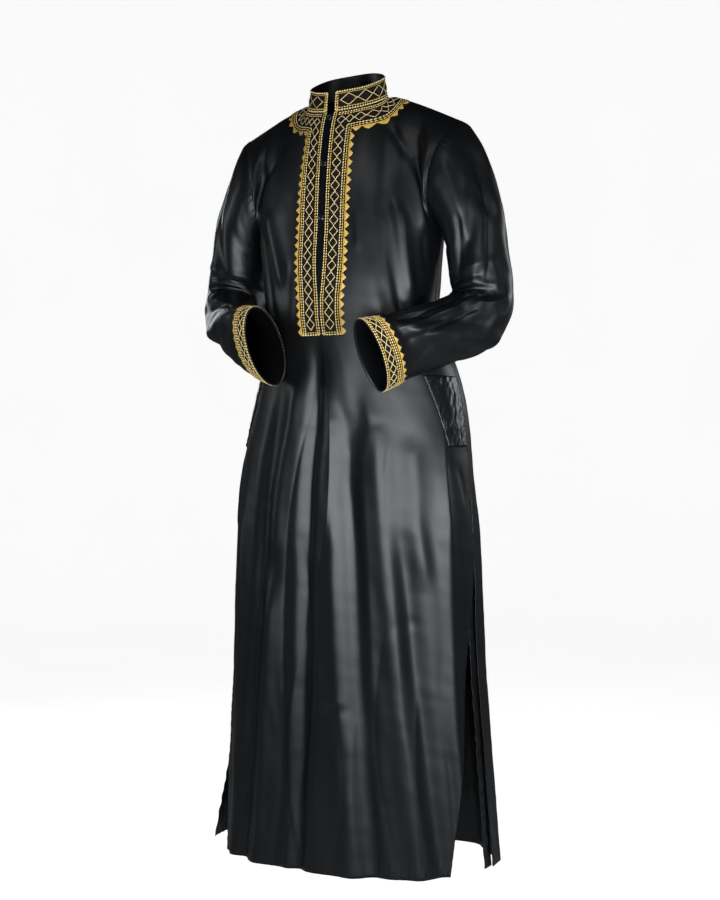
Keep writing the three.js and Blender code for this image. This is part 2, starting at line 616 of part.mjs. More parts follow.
const stripRows = ROWS.yoke + ROWS.chest;
const TEETH_A_ROW = 2;
const stripColumns = STRIP_LINES.length - 1;
const middleLine = (frontLast - 1) / 2; // the line at the slit's left edge

function stripGeometry(side) {
  const perRow = 2 * TEETH_A_ROW;
  const place = (r, c) => {
    const tooth = c === stripColumns && r % 2 === 0 ? 0.92 : 0;
    const away = c - tooth;
    const column = side > 0 ? middleLine - away : middleLine + 1 + away;
    return [Math.max(r / perRow, 0.012), column];
  };
  const columns = side > 0 ? (c) => stripColumns - c : (c) => c;
  const sheet = bandSheet(front, stripRows * perRow, stripColumns, (r, c) => place(r, columns(c)));
  return sheet.solid(BAND_WALL, 0);
}

function flyGeometry() {
  const inside = -WALL - SEAM;
  const place = (r, c) => [Math.max(r, 0.02), middleLine - 1 + c];
  return bandSheet(front, stripRows - 1, 3, place, inside).solid(0, -BAND_WALL);
}

// The front panel's slit, down to the row where its edges have come together
const slitRows = lowerHeights.findIndex((z) => z <= SLIT_END.z) + ROWS.yoke;
const frontKeeps = (j, i) => i !== middleLine || j >= slitRows;

// The neck band is walked out from the neck over both panels, so it keeps its width over the shoulders.
const yokeTriangles = [];
for (const sheet of [front, back]) {
  for (let j = 0; j < ROWS.yoke; j += 1) {
    for (let i = 0; i < sheet.columns; i += 1) {
      if (sheet === front && i === middleLine) continue;
      const [a, b] = [sheet.rows[j][i], sheet.rows[j][i + 1]];
      const [c, d] = [sheet.rows[j + 1][i + 1], sheet.rows[j + 1][i]];
      yokeTriangles.push(new THREE.Triangle(a, d, c), new THREE.Triangle(a, c, b));
    }
  }
}

function nearestOnYoke(point) {
  let best = Infinity;
  const found = { point: vec(0, 0, 0), normal: vec(0, 0, 1) };
  const spot = vec(0, 0, 0);
  for (const triangle of yokeTriangles) {
    triangle.closestPointToPoint(point, spot);
    const distance = spot.distanceToSquared(point);
    if (distance < best) {
      best = distance;
      found.point.copy(spot);
      triangle.getNormal(found.normal);
    }
  }
  return found;
}

// Points at the given distances from the neck, walking over the cloth in short steps.
function walkOut(start, heading, distances) {
  const step = 2.5;
  let { point, normal } = nearestOnYoke(start);
  const points = [];
  let gone = 0;
  for (const distance of distances) {
    while (gone < distance - 1e-6) {
      const now = Math.min(step, distance - gone);
      heading.addScaledVector(normal, -heading.dot(normal)).normalize();
      ({ point, normal } = nearestOnYoke(point.clone().addScaledVector(heading, now)));
      gone += now;
    }
    points.push({ point: point.clone(), normal: normal.clone() });
  }
  return points;
}

function neckBandGeometry() {
  const teeth = 26;
  const rays = 2 * teeth;
  const first = neckAngle(STRIP_LINES.at(-1)) + 0.7;
  const spread = 5; // rays over which the heading turns from the strip's to square off the neck
  const columns = [];
  for (let n = 0; n <= rays; n += 1) {
    const angle = mix(first, 360 - first, n / rays);
    const a = radians(angle);
    const turned = Math.min(n, rays - n) / spread;
    const square = vec(NECK.deep * Math.sin(a), -NECK.half * Math.cos(a), 0).normalize();
    const heading = vec(0, -0.5, -1).lerp(square, smooth(turned, 0, 1)).normalize();
    const edge = BAND + (n % 2 ? TOOTH : 0);
    columns.push(walkOut(neckPoint(angle), heading, [COLLAR_WALL, 0.35 * BAND, 0.7 * BAND, edge]));
  }
  const rows = columns[0].map((_, r) => columns.map((column) => column[r].point).reverse());
  const band = new Sheet(rows);
  band.rows.forEach((row, j) => row.forEach((p, i) => p.addScaledVector(band.normals[j][i], OVER)));
  liftClear(band);
  return band.solid(BAND_WALL, 0);
}

// A point of a cell, on the two triangles that it is built from.
function onTriangle(band, j, i, down, across) {
  const [first, last] = [band.rows[j][i], band.rows[j + 1][i + 1]];
  const [corner, share] = across > down
    ? [band.rows[j][i + 1], across - down]
    : [band.rows[j + 1][i], down - across];
  return first.clone().addScaledVector(corner.clone().sub(first), share)
    .addScaledVector(last.clone().sub(first), Math.min(down, across));
}

// Move a band's points out wherever one of its cells comes too near the panels.
function liftClear(band) {
  const steps = [0, 0.17, 0.33, 0.5, 0.67, 0.83, 1];
  for (let round = 0; round < 6; round += 1) {
    const lifts = band.rows.map((row) => row.map(() => 0));
    for (let j = 0; j < band.rows.length - 1; j += 1) {
      for (let i = 0; i < band.columns; i += 1) {
        for (const down of steps) {
          for (const across of steps) {
            const { normal } = band.at(j + Math.min(down, 0.999), i + Math.min(across, 0.999));
            const point = onTriangle(band, j, i, down, across);
            const short = OVER + 0.4 - point.clone().sub(nearestOnYoke(point).point).dot(normal);
            for (const [k, m] of [[j, i], [j + 1, i], [j, i + 1], [j + 1, i + 1]]) {
              lifts[k][m] = Math.max(lifts[k][m], short);
            }
          }
        }
      }
    }
    band.rows.forEach((row, j) => row.forEach((p, i) => p.addScaledVector(band.normals[j][i], lifts[j][i])));
  }
}

// The stand collar goes round from one side of the slit to the other.
function collarGeometry() {
  const columns = 32;
  const first = neckAngle(SLIT);
  const rows = [0, 0.5, 1].map((t) => Array.from({ length: columns + 1 }, (_, i) => {
    const angle = mix(first, 360 - first, i / columns);
    const shrink = 1 - (COLLAR_LEAN * (1 - t)) / NECK.half;
    const p = neckPoint(angle);
    return vec(p.x * shrink, NECK.back + (p.y - NECK.back) * shrink, p.z + 0.9 + COLLAR_HEIGHT * (1 - t));
  }));
  return new Sheet(rows.map((row) => row.reverse())).solid(0.4 * COLLAR_WALL, -0.6 * COLLAR_WALL);
}

// A cuff's band wraps the sleeve's last rows, its teeth towards the elbow.
function cuffGeometry(sleeve) {
  const lastRow = sleeve.rows.length - 1;
  const firstRow = lastRow - CUFF_ROWS;
  const toothRows = (TOOTH / (CUFF_BAND + TOOTH)) * CUFF_ROWS;
  const stops = [0, toothRows + 0.1, CUFF_ROWS / 2, CUFF_ROWS - 0.01];
  const place = (r, c) => [firstRow + stops[r] + (r === 0 && c % 2 === 0 ? toothRows : 0), c / 2];
  return bandSheet(sleeve, stops.length - 1, 2 * sleeve.columns, place, OVER + 0.2, true).solid(BAND_WALL, 0);
}

// A pocket's facing lies between its slanted mouth and the side seam.
function pocketGeometry(side) {
  const rows = POCKET.rows;
  const place = (r, c) => {
    const z = mix(POCKET.top, POCKET.bottom, r / rows);
    const row = rowOfHeight(z);
    const angle = mix(mix(POCKET.topAngle, POCKET.bottomAngle, r / rows), 2.5, c / POCKET.columns);
    const column = columnOfAngle(z, angle);
    return [row, side > 0 ? column : frontLast - column];
  };
  const order = side > 0 ? (c) => POCKET.columns - c : (c) => c;
  const sheet = bandSheet(front, rows, POCKET.columns, (r, c) => place(r, order(c)), OVER + 0.55);
  return sheet.solid(BAND_WALL, 0);
}

function rowOfHeight(z) {
  const k = lowerHeights.findIndex((height) => height <= z);
  const t = (lowerHeights[k - 1] - z) / (lowerHeights[k - 1] - lowerHeights[k]);
  return ROWS.yoke + k - 1 + t;
}

function columnOfAngle(z, angle) {
  const angles = frontAngles(z);
  const k = Math.max(angles.findIndex((a) => a >= angle), 1);
  return k - 1 + (angle - angles[k - 1]) / (angles[k] - angles[k - 1]);
}

// A strip sewn inside the back panel's edge at a vent, which stands out under the front panel.
function ventGeometry(side) {
  const rows = [];
  for (const z of lowerHeights.filter((height) => height < VENT_TOP)) {
    rows.push(VENT_FACING.angles.map((angle) => {
      const turned = side > 0 ? (angle + 360) % 360 : 180 - angle;
      const point = bodyPoint(z, turned, side < 0);
      const inward = vec(-point.x, 30 - point.y, 0).normalize();
      const flare = side < 0 ? rowAt(BODY, 'z', z).flare : 0;
      return point.addScaledVector(inward, VENT_FACING.depth + VENT_FACING.slack * flare);
    }));
  }
  if (side > 0) rows.forEach((row) => row.reverse());
  return new Sheet(rows.map((row) => row.reverse())).solid(0, -BAND_WALL);
}

// A small domed button standing on the fly.
function buttonGeometry(row) {
  const { point, normal } = front.at(row, middleLine + 0.5, -WALL - SEAM + 0.3);
  const profile = [
    [0, 0], [BUTTON.radius * 0.8, 0], [BUTTON.radius, 0.8], [BUTTON.radius, BUTTON.edge],
    [BUTTON.radius * 0.7, BUTTON.edge + BUTTON.dome * 0.7], [0, BUTTON.edge + BUTTON.dome],
  ];
  const points = [];
  const faces = [];
  const sides = BUTTON.sides;
  points.push(0, 0, 0);
  for (const [radius, height] of profile.slice(1, -1)) {
    for (let n = 0; n < sides; n += 1) {
      const a = (2 * Math.PI * n) / sides;
      points.push(radius * Math.cos(a), radius * Math.sin(a), height);
    }
  }
  points.push(0, 0, profile.at(-1)[1]);
  const rings = profile.length - 2;
  const top = points.length / 3 - 1;
  for (let n = 0; n < sides; n += 1) {
    const m = (n + 1) % sides;
    faces.push(0, 1 + m, 1 + n);
    for (let k = 0; k < rings - 1; k += 1) {
      const [a, b] = [1 + k * sides + n, 1 + k * sides + m];
      faces.push(a, b, b + sides, a, b + sides, a + sides);
    }
    faces.push(top, 1 + (rings - 1) * sides + n, 1 + (rings - 1) * sides + m);
  }
  const geometry = closedGeometry(points, faces);
  geometry.applyQuaternion(new THREE.Quaternion().setFromUnitVectors(vec(0, 0, 1), normal));
  return geometry.translate(point.x, point.y, point.z);
}

// The rows of the front panel at the given distances down the opening
function rowsDown(drops) {
  const lengths = [0];
  for (let j = 1; j < front.rows.length; j += 1) {
    lengths.push(lengths[j - 1] + front.rows[j][middleLine].distanceTo(front.rows[j - 1][middleLine]));
  }
  return drops.map((drop) => {
    const k = lengths.findIndex((length) => length > drop);
    return k - 1 + (drop - lengths[k - 1]) / (lengths[k] - lengths[k - 1]);
  });
}

const FINISHES = {
  satin: { color: 0x15171b, roughness: 0.42, metalness: 0 },
  gold: { color: 0xb98e3c, roughness: 0.5, metalness: 0.25 },
  button: { color: 0x0b0b0d, roughness: 0.2, metalness: 0 },
};

const group = new THREE.Group();
function add(name, geometry, finish) {
  const mesh = new THREE.Mesh(geometry, new THREE.MeshStandardMaterial(FINISHES[finish]));
  mesh.name = name;
  group.add(mesh);
}

// Each panel and sleeve is one cloth, whose solid comes in stretches from its top row to its last
for (const [name, first, last] of STRETCHES) {
  if (name === 'yoke') {
    add('front_yoke_left', front.stretch(first, last).solid(0, -WALL, (j, i) => i < middleLine), 'satin');
    add('front_yoke_right', front.stretch(first, last).solid(0, -WALL, (j, i) => i > middleLine), 'satin');
  } else {
    const keeps = (j, i) => frontKeeps(j + first, i);
    add(`front_${name}`, front.stretch(first, last).solid(0, -WALL, keeps), 'satin');
  }
  add(`back_${name}`, back.stretch(first, last).solid(), 'satin');
}
for (const side of ['left', 'right']) {
  for (const [name, first, last] of SLEEVE_STRETCHES) {
    add(`sleeve_${side}_${name}`, sleeves[side].stretch(first, last).solid(), 'satin');
  }
}
add('stand_collar', collarGeometry(), 'gold');
add('neck_band', neckBandGeometry(), 'gold');
add('placket_left', stripGeometry(1), 'gold');
add('placket_right', stripGeometry(-1), 'gold');
add('placket_fly', flyGeometry(), 'satin');
add('cuff_band_left', cuffGeometry(sleeves.left), 'gold');
add('cuff_band_right', cuffGeometry(sleeves.right), 'gold');
add('pocket_left', pocketGeometry(1), 'satin');
add('pocket_right', pocketGeometry(-1), 'satin');
add('vent_facing_left', ventGeometry(1), 'satin');
add('vent_facing_right', ventGeometry(-1), 'satin');
rowsDown(BUTTON_DROPS).forEach((row, n) => add(`button_${n + 1}`, buttonGeometry(row), 'button'));

export default group;
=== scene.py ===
"""A long satin qamis with gold embroidery, in its worn form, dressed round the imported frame."""
import logging
import math
from dataclasses import dataclass, field
from enum import Enum
from typing import Any, Sequence

import bmesh
import bpy
import numpy as np
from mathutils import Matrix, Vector
from mathutils.bvhtree import BVHTree


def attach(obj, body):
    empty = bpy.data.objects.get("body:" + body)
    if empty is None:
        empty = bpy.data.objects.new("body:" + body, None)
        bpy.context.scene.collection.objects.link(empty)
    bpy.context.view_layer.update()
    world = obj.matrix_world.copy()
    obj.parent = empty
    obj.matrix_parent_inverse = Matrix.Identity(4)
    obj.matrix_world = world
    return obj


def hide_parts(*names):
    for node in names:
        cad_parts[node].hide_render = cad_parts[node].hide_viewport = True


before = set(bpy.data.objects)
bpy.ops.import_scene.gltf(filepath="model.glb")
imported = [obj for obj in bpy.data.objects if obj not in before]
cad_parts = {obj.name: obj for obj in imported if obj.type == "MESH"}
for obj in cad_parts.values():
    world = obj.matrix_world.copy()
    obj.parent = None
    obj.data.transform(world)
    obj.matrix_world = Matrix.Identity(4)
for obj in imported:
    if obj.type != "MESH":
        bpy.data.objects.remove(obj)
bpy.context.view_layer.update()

log = logging.getLogger("qamis")
Array = np.ndarray
MM = 0.001
TURN = 6.283  # radians in one wave

# Sizes in millimetres, in the frame of the solids: the front faces -Y and the wearer's left is +X
WALL = 1.1
# The neck's seam: half its width and depth, its middle, its height there and its slope to the front
NECK_HALF, NECK_DEEP, NECK_BACK, NECK_LIFT, NECK_SLOPE = 68.0, 67.0, -5.0, -4.0, 0.43
NECK_SIDE = 99.0  # degrees from the front to the shoulder's seam, round the neck
SHOULDER = np.array([206.0, 13.0, -52.0])  # the shoulder's tip
SHOULDER_RISE = 8.0
COLLAR_HEIGHT, COLLAR_LEAN = 36.0, 5.0
SLIT = 6.25  # half its width at the neck
SLIT_END, SLIT_END_HALF = -375.0, 1.2
STRIP, STRIP_END = 39.0, -420.0
TOOTH = 5.5
BAND = 40.0
ARMPIT, HEM, VENT_TOP = -230.0, -1318.0, -800.0
# Rows and columns of the panels' coarse grids
YOKE_ROWS, CHEST_ROWS, SKIRT_ROWS = 9, 6, 18
SHOULDER_COLUMNS, NECK_COLUMNS = 9, 3
BACK_SHOULDER, BACK_NECK = 8, 10
STRIP_LINES = np.array([SLIT, SLIT + STRIP / 2, SLIT + STRIP, SLIT + STRIP + TOOTH + 0.5])

# Body sections: height, middle, half width, y of the front, back and side seam, squareness, how far the
# front panel's edge has swung off the seam under the vents' tops (degrees), the back corners' flare
BODY = np.array([
    [-230, 0, 168, -108, 112, 16, 2.25, 0, 0],
    [-310, 0, 159, -116, 120, 18, 2.25, 0, 0],
    [-400, 2, 157, -117, 128, 20, 2.2, 0, 0],
    [-450, 9, 171, -115, 137, 23, 2.15, 0, 0],
    [-500, 10, 186, -113, 146, 25, 2.1, 0, 0],
    [-540, 9, 195, -112, 152, 26, 2.1, 0, 0],
    [-640, 2, 212, -114, 162, 26, 2.1, 0, 0],
    [-800, 0, 224, -118, 170, 26, 2.1, 0.1, 0],
    [-960, 0, 229, -122, 176, 28, 2.1, 13, 1],
    [-1140, 2, 240, -127, 184, 30, 2.1, 23, 10],
    [-1318, 3, 252, -132, 192, 32, 2.1, 33, 34],
])


@dataclass(frozen=True)
class Fold:
    """A fold of the body's cloth, from one height and angle to another; a negative height is a furrow."""

    z0: float
    z1: float
    a0: float
    a1: float
    width: float
    height: float
    crisp: float = 0.0


@dataclass(frozen=True)
class SleeveFold:
    """A fold of a sleeve, from one ring and angle to another."""

    r0: float
    r1: float
    a0: float
    a1: float
    width: float
    height: float
    crisp: float = 0.0


def folds(kind: type, rows: Sequence[tuple[float, ...]]) -> list[Any]:
    """A table's rows as folds of a kind."""
    return [kind(*row) for row in rows]


# The solids' own folds, which run down the cloth: a row for each, as Fold's fields name them
MAIN_FOLDS = folds(Fold, [
    (-640, -1318, 26, 24, 17, 6), (-760, -1318, 52, 37, 18, -8), (-600, -830, 46, 42, 16, 4),
    (-540, -1318, 65, 49, 18, 8), (-600, -1318, 78, 68.5, 17, -10), (-510, -1318, 87, 77, 17, 8),
    (-480, -1318, 94, 98.5, 12, -13), (-500, -790, 107, 113, 14, 6), (-790, -1318, 104, 107, 15, -5),
    (-840, -1318, 114, 119, 14, 7), (-530, -1318, 119, 129, 15, -8), (-700, -1318, 141, 137, 17, 6),
    (-600, -1318, 200, 197, 24, -9), (-560, -1318, 216, 213, 22, 7), (-500, -1318, 229, 232, 22, -11),
    (-640, -1318, 245, 249, 24, 8), (-560, -1318, 261, 265, 22, -9), (-480, -1318, 277, 280, 24, 9),
    (-540, -1318, 292, 296, 22, -11), (-680, -1318, 309, 312, 22, 8), (-520, -1318, 324, 328, 22, -9),
    (-700, -1318, 341, 344, 24, 6), (-200, -350, 46, 28, 14, 5), (-190, -385, 54, 35, 14, -5),
    (-110, -240, 34, 22, 14, 5), (-60, -190, 52, 12, 15, -4), (-60, -190, 128, 168, 15, -4),
    (-200, -330, 133, 116, 14, 5), (-230, -390, 144, 128, 14, -5), (-150, -430, 236, 226, 22, -6),
    (-190, -470, 258, 264, 24, 5), (-170, -440, 300, 311, 22, -6),
])

# Finer folds and creases between their two ends, in any direction
FINE_FOLDS = folds(Fold, [
    # The long crease left of the middle, with its sharp lit edge
    (-470, -900, 91.6, 95.2, 5.0, 4.6, 1), (-900, -1330, 95.2, 96.6, 5.5, 4.2, 1),
    (-480, -1330, 95.5, 99.6, 5.0, -3.4, 1),
    # Skirt, front
    (-606, -730, 58.5, 60.5, 6, -3.4, 1), (-560, -830, 113.5, 117, 8, -4, 0.5),
    (-780, -910, 122, 122, 8, -3.5), (-880, -1110, 114, 118, 9, 3.6, 0.5),
    (-740, -1310, 100.5, 107, 6.5, -3.2, 0.5), (-690, -1140, 147.5, 134.5, 12, 3),
    (-1046, -1043, 94, 76, 7, -2.6, 0.5), (-1035, -1033, 92, 79, 8, 2.2), (-1042, -1046, 87, 82, 8, -2.4),
    (-1205, -1196, 72, 60, 9, -1.6), (-905, -895, 60, 44, 10, -1.8), (-575, -566, 80, 60, 9, -1.5),
    (-600, -594, 118, 104, 9, -1.4), (-566, -560, 104, 84, 8, 1.4), (-600, -1000, 71, 66, 8, 2.4, 0.5),
    (-900, -1330, 61, 56, 8, -2.6, 0.5), (-960, -1330, 88, 84, 8, -2.8, 0.5),
    (-1050, -1330, 74.5, 72.5, 7, 2.6, 0.5), (-1000, -1330, 45, 42, 8, 2.6, 0.5),
    (-1080, -1330, 33, 31, 8, -2.8), (-1010, -1330, 111, 112, 8, -2.6), (-1090, -1330, 124, 125, 9, 2.6),
    (-520, -700, 84, 80, 8, -2.0), (-520, -640, 70, 72, 8, 2.0),
    # Beside and below the pockets
    (-606, -770, 24.5, 24, 7, 4.2, 0.6), (-606, -750, 155.5, 156, 8, 3.6, 0.6),
    (-752, -748, 146, 159, 6, -2.6), (-640, -700, 14, 8, 8, -2.5), (-650, -720, 166, 172, 8, -2.5),
    # Chest
    (-213, -278, 73, 69, 7, 2.6, 0.5), (-210, -262, 76.5, 73, 5, -2.4, 0.5),
    (-289, -335, 112, 113.5, 7, -2.6), (-143, -200, 23, 3, 8, 3, 0.5), (-150, -206, 27, 6, 7, -2.6),
    (-160, -190, 12, 2, 4, -2.2, 0.5), (-186, -207, 14, 3, 4, 1.8, 0.5), (-46, -108, 106.5, 131, 10, -2.4),
    (-108, -140, 131, 156, 9, -2.4), (-36, -104, 31.5, 14.5, 9, -2.2), (-290, -390, 60, 48, 9, 2.4),
    (-330, -430, 50, 40, 9, -2.6), (-340, -450, 126, 138, 9, 2.4), (-300, -400, 104, 112, 9, -2.2),
    (-240, -300, 150, 164, 9, 2.4), (-236, -282, 158, 170, 7, -2.4), (-246, -320, 22, 10, 8, -2.4),
    (-420, -440, 60, 20, 9, 1.8), (-445, -470, 66, 26, 10, -2.0), (-440, -470, 116, 160, 10, -2.0),
    # Back
    (-96, -190, 205, 190, 10, -3.0), (-110, -200, 214, 197, 10, 2.6), (-96, -190, 335, 350, 10, -3.0),
    (-110, -205, 326, 343, 10, 2.6), (-40, -95, 246, 240, 14, 1.6), (-40, -95, 294, 300, 14, 1.6),
    (-300, -380, 206, 232, 11, 3.0, 0.5), (-330, -410, 202, 222, 9, -3.2, 0.5),
    (-300, -390, 334, 308, 11, 3.0, 0.5), (-340, -420, 338, 318, 9, -3.2, 0.5),
    (-430, -446, 232, 262, 10, -2.8), (-455, -468, 240, 284, 12, 2.4), (-425, -450, 276, 306, 10, -2.4),
    (-520, -900, 252, 255, 10, -3.2, 0.5), (-560, -980, 270, 273, 10, 3.2, 0.5),
    (-700, -1330, 286, 289, 9, -3.4, 0.5), (-640, -1330, 237, 241, 9, -3.0, 0.5),
    (-820, -1330, 222, 223, 10, 3.0), (-860, -1330, 302, 304, 10, 3.0), (-760, -1330, 334, 336, 10, 3.0),
    (-900, -1330, 256, 258, 9, 3.0, 0.5), (-980, -1330, 274, 273, 9, -3.0),
    (-700, -1000, 205, 206, 10, 2.6), (-1010, -1004, 248, 262, 9, -2.2), (-880, -872, 296, 312, 9, -2.2),
    (-560, -650, 316, 320, 10, -3),
])

# Sleeve rings from the cap to the cuff: centre x, y, z, half sizes across and through the bend, lean
SLEEVE_RINGS = {
    "left": np.array([
        [228, 30, -270, 51, 68, 0], [234, 33, -318, 52, 67, 0], [237, 26, -364, 52, 62, 0],
        [230, 0, -394, 48, 58, 0], [211, -40, -411, 40, 56, 0], [184, -84, -427, 35, 56, 0.1],
        [150, -126, -443, 32, 60, 0.24], [137, -154, -452, 32, 63, 0.3], [124, -181, -460, 32, 66, 0.34],
    ]),
    "right": np.array([
        [-229, 30, -262, 52, 68, 0], [-238, 34, -302, 53, 67, 0], [-243, 28, -338, 54, 62, 0],
        [-234, 2, -370, 50, 59, 0], [-208, -40, -391, 41, 57, 0], [-172, -84, -410, 35, 62, 0.02],
        [-130, -126, -426, 32, 66, 0.04], [-105, -145, -432, 32, 70, 0.05], [-79, -160, -438, 32, 73, 0.06],
    ]),
}
# How far the cap of a sleeve bulges out over the shoulder
SHOULDER_ROUND = {"left": 122.0, "right": 92.0}
# The sleeves' folds, as SleeveFold's fields name them: the solids' own, then the finer ones
SLEEVE_MAIN = {
    "left": folds(SleeveFold, [
        (-2.5, 1.2, 205, 300, 15, -6), (-1, 2.6, 190, 188, 15, 4), (1.9, 2.6, 235, 310, 13, -6),
        (7, 5.6, 262, 215, 13, 5), (5.6, 3.2, 215, 150, 13, 6), (5.4, 3.4, 245, 195, 12, -5),
    ]),
    "right": folds(SleeveFold, [
        (-2.5, 0.8, 160, 85, 15, -6), (-1, 2.4, 168, 176, 15, 4), (1.8, 2.5, 150, 60, 13, -6),
        (6, 3.4, 120, 190, 13, 6), (5.2, 2.9, 90, 150, 12, -5),
    ]),
}
SLEEVE_FINE = {
    "left": folds(SleeveFold, [
        (0.6, 0.9, 225, 320, 8, 2.6, 0.5), (1.2, 1.6, 250, 350, 8, -3.0, 0.5),
        (1.6, 2.2, 220, 330, 7, 2.8, 0.5), (2.6, 3.0, 270, 350, 7, -2.8, 0.5),
        (3.1, 3.3, 255, 335, 7, 2.6, 0.5), (3.9, 4.6, 230, 300, 8, -2.4), (0.2, 2.0, 150, 165, 9, -2.4),
        (2.4, 3.2, 120, 170, 9, 2.4), (3.3, 5.0, 130, 190, 8, -2.2), (-3.6, -1.2, 180, 210, 9, -1.8),
        (-3.4, -0.6, 250, 262, 9, 2.0), (1.0, 1.9, 40, 120, 9, -2.4), (2.0, 2.6, 10, 90, 8, 2.4),
        (4.6, 6.0, 20, 80, 9, -2.2), (3.4, 4.2, 30, 110, 8, -2.4), (2.7, 6.1, 312, 268, 7, 5.0, 0.3),
        (2.9, 5.9, 284, 246, 6, -4.6, 0.5), (3.1, 6.2, 252, 226, 7, 4.6, 0.3),
        (3.2, 6.0, 338, 296, 7, -4.4, 0.5), (2.2, 3.6, 230, 262, 7, -4.2, 0.5),
        (2.0, 3.2, 200, 236, 7, 4.0, 0.3), (3.6, 5.9, 225, 205, 6, -3.6, 0.5),
        (-1.5, 1.6, 228, 262, 9, 3.0, 0.3), (-2.0, 1.4, 205, 236, 8, -3.2, 0.5),
        (-1.2, 1.0, 270, 292, 8, -2.8, 0.3),
    ]),
    "right": folds(SleeveFold, [
        (0.5, 0.8, 135, 40, 8, 2.6, 0.5), (1.1, 1.5, 110, 10, 8, -3.0, 0.5),
        (1.7, 2.3, 140, 30, 7, 2.8, 0.5), (2.6, 3.0, 95, 15, 7, -2.8, 0.5),
        (3.1, 3.3, 110, 30, 7, 2.6, 0.5), (3.9, 4.8, 130, 60, 8, -2.4), (0.2, 2.0, 205, 195, 9, -2.4),
        (2.4, 3.2, 240, 190, 9, 2.4), (3.3, 5.0, 225, 170, 8, -2.2), (-3.6, -1.2, 175, 150, 9, -1.8),
        (1.0, 1.9, 320, 240, 9, -2.4), (2.0, 2.6, 350, 270, 8, 2.4), (4.6, 6.0, 340, 280, 9, -2.2),
    ]),
}
CAP_STEPS = (0.0, 0.12, 0.3, 0.5, 0.75)

FRONT_NODES = ("front_yoke_left", "front_yoke_right", "front_chest", "front_waist", "front_skirt",
               "front_hem")
BACK_NODES = ("back_yoke", "back_chest", "back_waist", "back_skirt", "back_hem")

NECK_START = 2.6  # from the neck's seam to the neck band's edge
BEAD_PITCH = 4.6  # from one padded stitch of a braid to the next
LIFT_OFF = 0.35  # how far a band's ground lies off its panel
BUTTON_DROPS = (12.0, 97.0, 190.0)  # down the slit from the neck's seam
POCKET_TOP, POCKET_BOTTOM = -486.0, -606.0
POCKET_ANGLES = (34.0, 22.0)  # its slanted mouth, at its top and bottom
VENT_ANGLES = (-2.2, 7.0)  # the facing's two edges, round from the left side
VENT_DEPTH = 2.8  # how far inside the back panel it lies

# How a yoke column leaves the armpit's row and reaches the top edge
EDGE_TANGENTS = {
    "front": np.array([[-34, -262, 62], [104, 250, 120]], float),
    "back": np.array([[-30, 236, 62], [70, -190, 110]], float),
}
NECK_REACH = {
    "front": np.array([[-35, 140, 28], [-65, 120, 25], [-92, 92, 24], [-88, 78, 46], [-50, 74, 82],
                       [0, 74, 112]], float),
    "back": np.array([[-35, -135, 28], [-65, -115, 25], [-92, -85, 26], [-78, -84, 48], [-52, -88, 78],
                      [-28, -90, 106], [-12, -92, 122], [0, -92, 128]], float),
}


class Side(Enum):
    """The wearer's left or right."""

    LEFT = 1
    RIGHT = -1

    @property
    def word(self) -> str:
        """The side's name as the nodes spell it."""
        return self.name.lower()


# Curves and tables

def ease(t: Any) -> Any:
    """A smooth step for values between 0 and 1."""
    return t * t * (3 - 2 * t)


def smooth(x: Any, low: float, high: float) -> Any:
    """A smooth step from 0 at low to 1 at high."""
    return ease(np.clip((np.asarray(x, float) - low) / (high - low), 0, 1))


def mix(a: Any, b: Any, t: Any) -> Any:
    """The straight blend of two values."""
    return a + (b - a) * t


def hermite(start: Any, end: Any, leave: Any, reach: Any, t: Any) -> Any:
    """A curve from start at 0 to end at 1, with the directions in which it leaves and reaches them."""
    rise = ease(t)
    return start * (1 - rise) + end * rise + leave * (t ** 3 - 2 * t * t + t) + reach * (t ** 3 - t * t)


def index_at(values: Array, value: Any) -> Any:
    """Where a value lies among rising values, as a decimal index."""
    return np.interp(value, values, np.arange(len(values)))


def value_at(values: Array, index: Any) -> Any:
    """The value at a decimal index."""
    return np.interp(index, np.arange(len(values)), values)


def unit(v: Array) -> Array:
    """Vectors at length one, along the last axis."""
    return v / np.maximum(np.linalg.norm(v, axis=-1, keepdims=True), 1e-9)


def spline_weights(knots: Sequence[float], places: Sequence[float], period: float = 0.0) -> Array:
    """Weights that turn values at knots into a smooth curve's values at places.

    Args:
        knots: Rising positions of the known values.
        places: Positions of the wanted values.
        period: The length after which a closed curve repeats, or 0 for an open one.

    Returns:
        One row of weights for each place.
    """
    knots, places = np.asarray(knots, float), np.asarray(places, float)
    count = len(knots)
    if period:
        extra = 3
        longer = np.concatenate([knots[-extra:] - period, knots, knots[:extra] + period])
        found = spline_weights(longer, places)
        weights = found[:, extra:extra + count].copy()
        weights[:, -extra:] += found[:, :extra]
        weights[:, :extra] += found[:, extra + count:]
        return weights
    step = np.diff(knots)
    slope = np.zeros((count, count))
    slope[0, :2] = [-1 / step[0], 1 / step[0]]
    slope[-1, -2:] = [-1 / step[-1], 1 / step[-1]]
    for k in range(1, count - 1):
        before, after = step[k - 1], step[k]
        slope[k, k - 1] = -after / (before * (before + after))
        slope[k, k] = (after - before) / (before * after)
        slope[k, k + 1] = before / (after * (before + after))
    cell = np.clip(np.searchsorted(knots, places, side="right") - 1, 0, count - 2)
    width = step[cell]
    t = np.clip((places - knots[cell]) / width, 0, 1)
    line = np.arange(len(places))
    weights = np.zeros((len(places), count))
    rise = ease(t)
    weights[line, cell] += 1 - rise
    weights[line, cell + 1] += rise
    weights += (width * (t ** 3 - 2 * t * t + t))[:, None] * slope[cell]
    weights += (width * (t ** 3 - t * t))[:, None] * slope[cell + 1]
    return weights


def body_at(z: Any) -> dict[str, Array]:
    """The body's section at each height, by column name."""
    z = np.asarray(z, float)
    names = ("middle", "half", "front", "back", "side", "square", "edge", "flare")
    values = spline_weights(-BODY[:, 0], -z.ravel()) @ BODY[:, 1:]
    return {name: values[:, k].reshape(z.shape) for k, name in enumerate(names)}


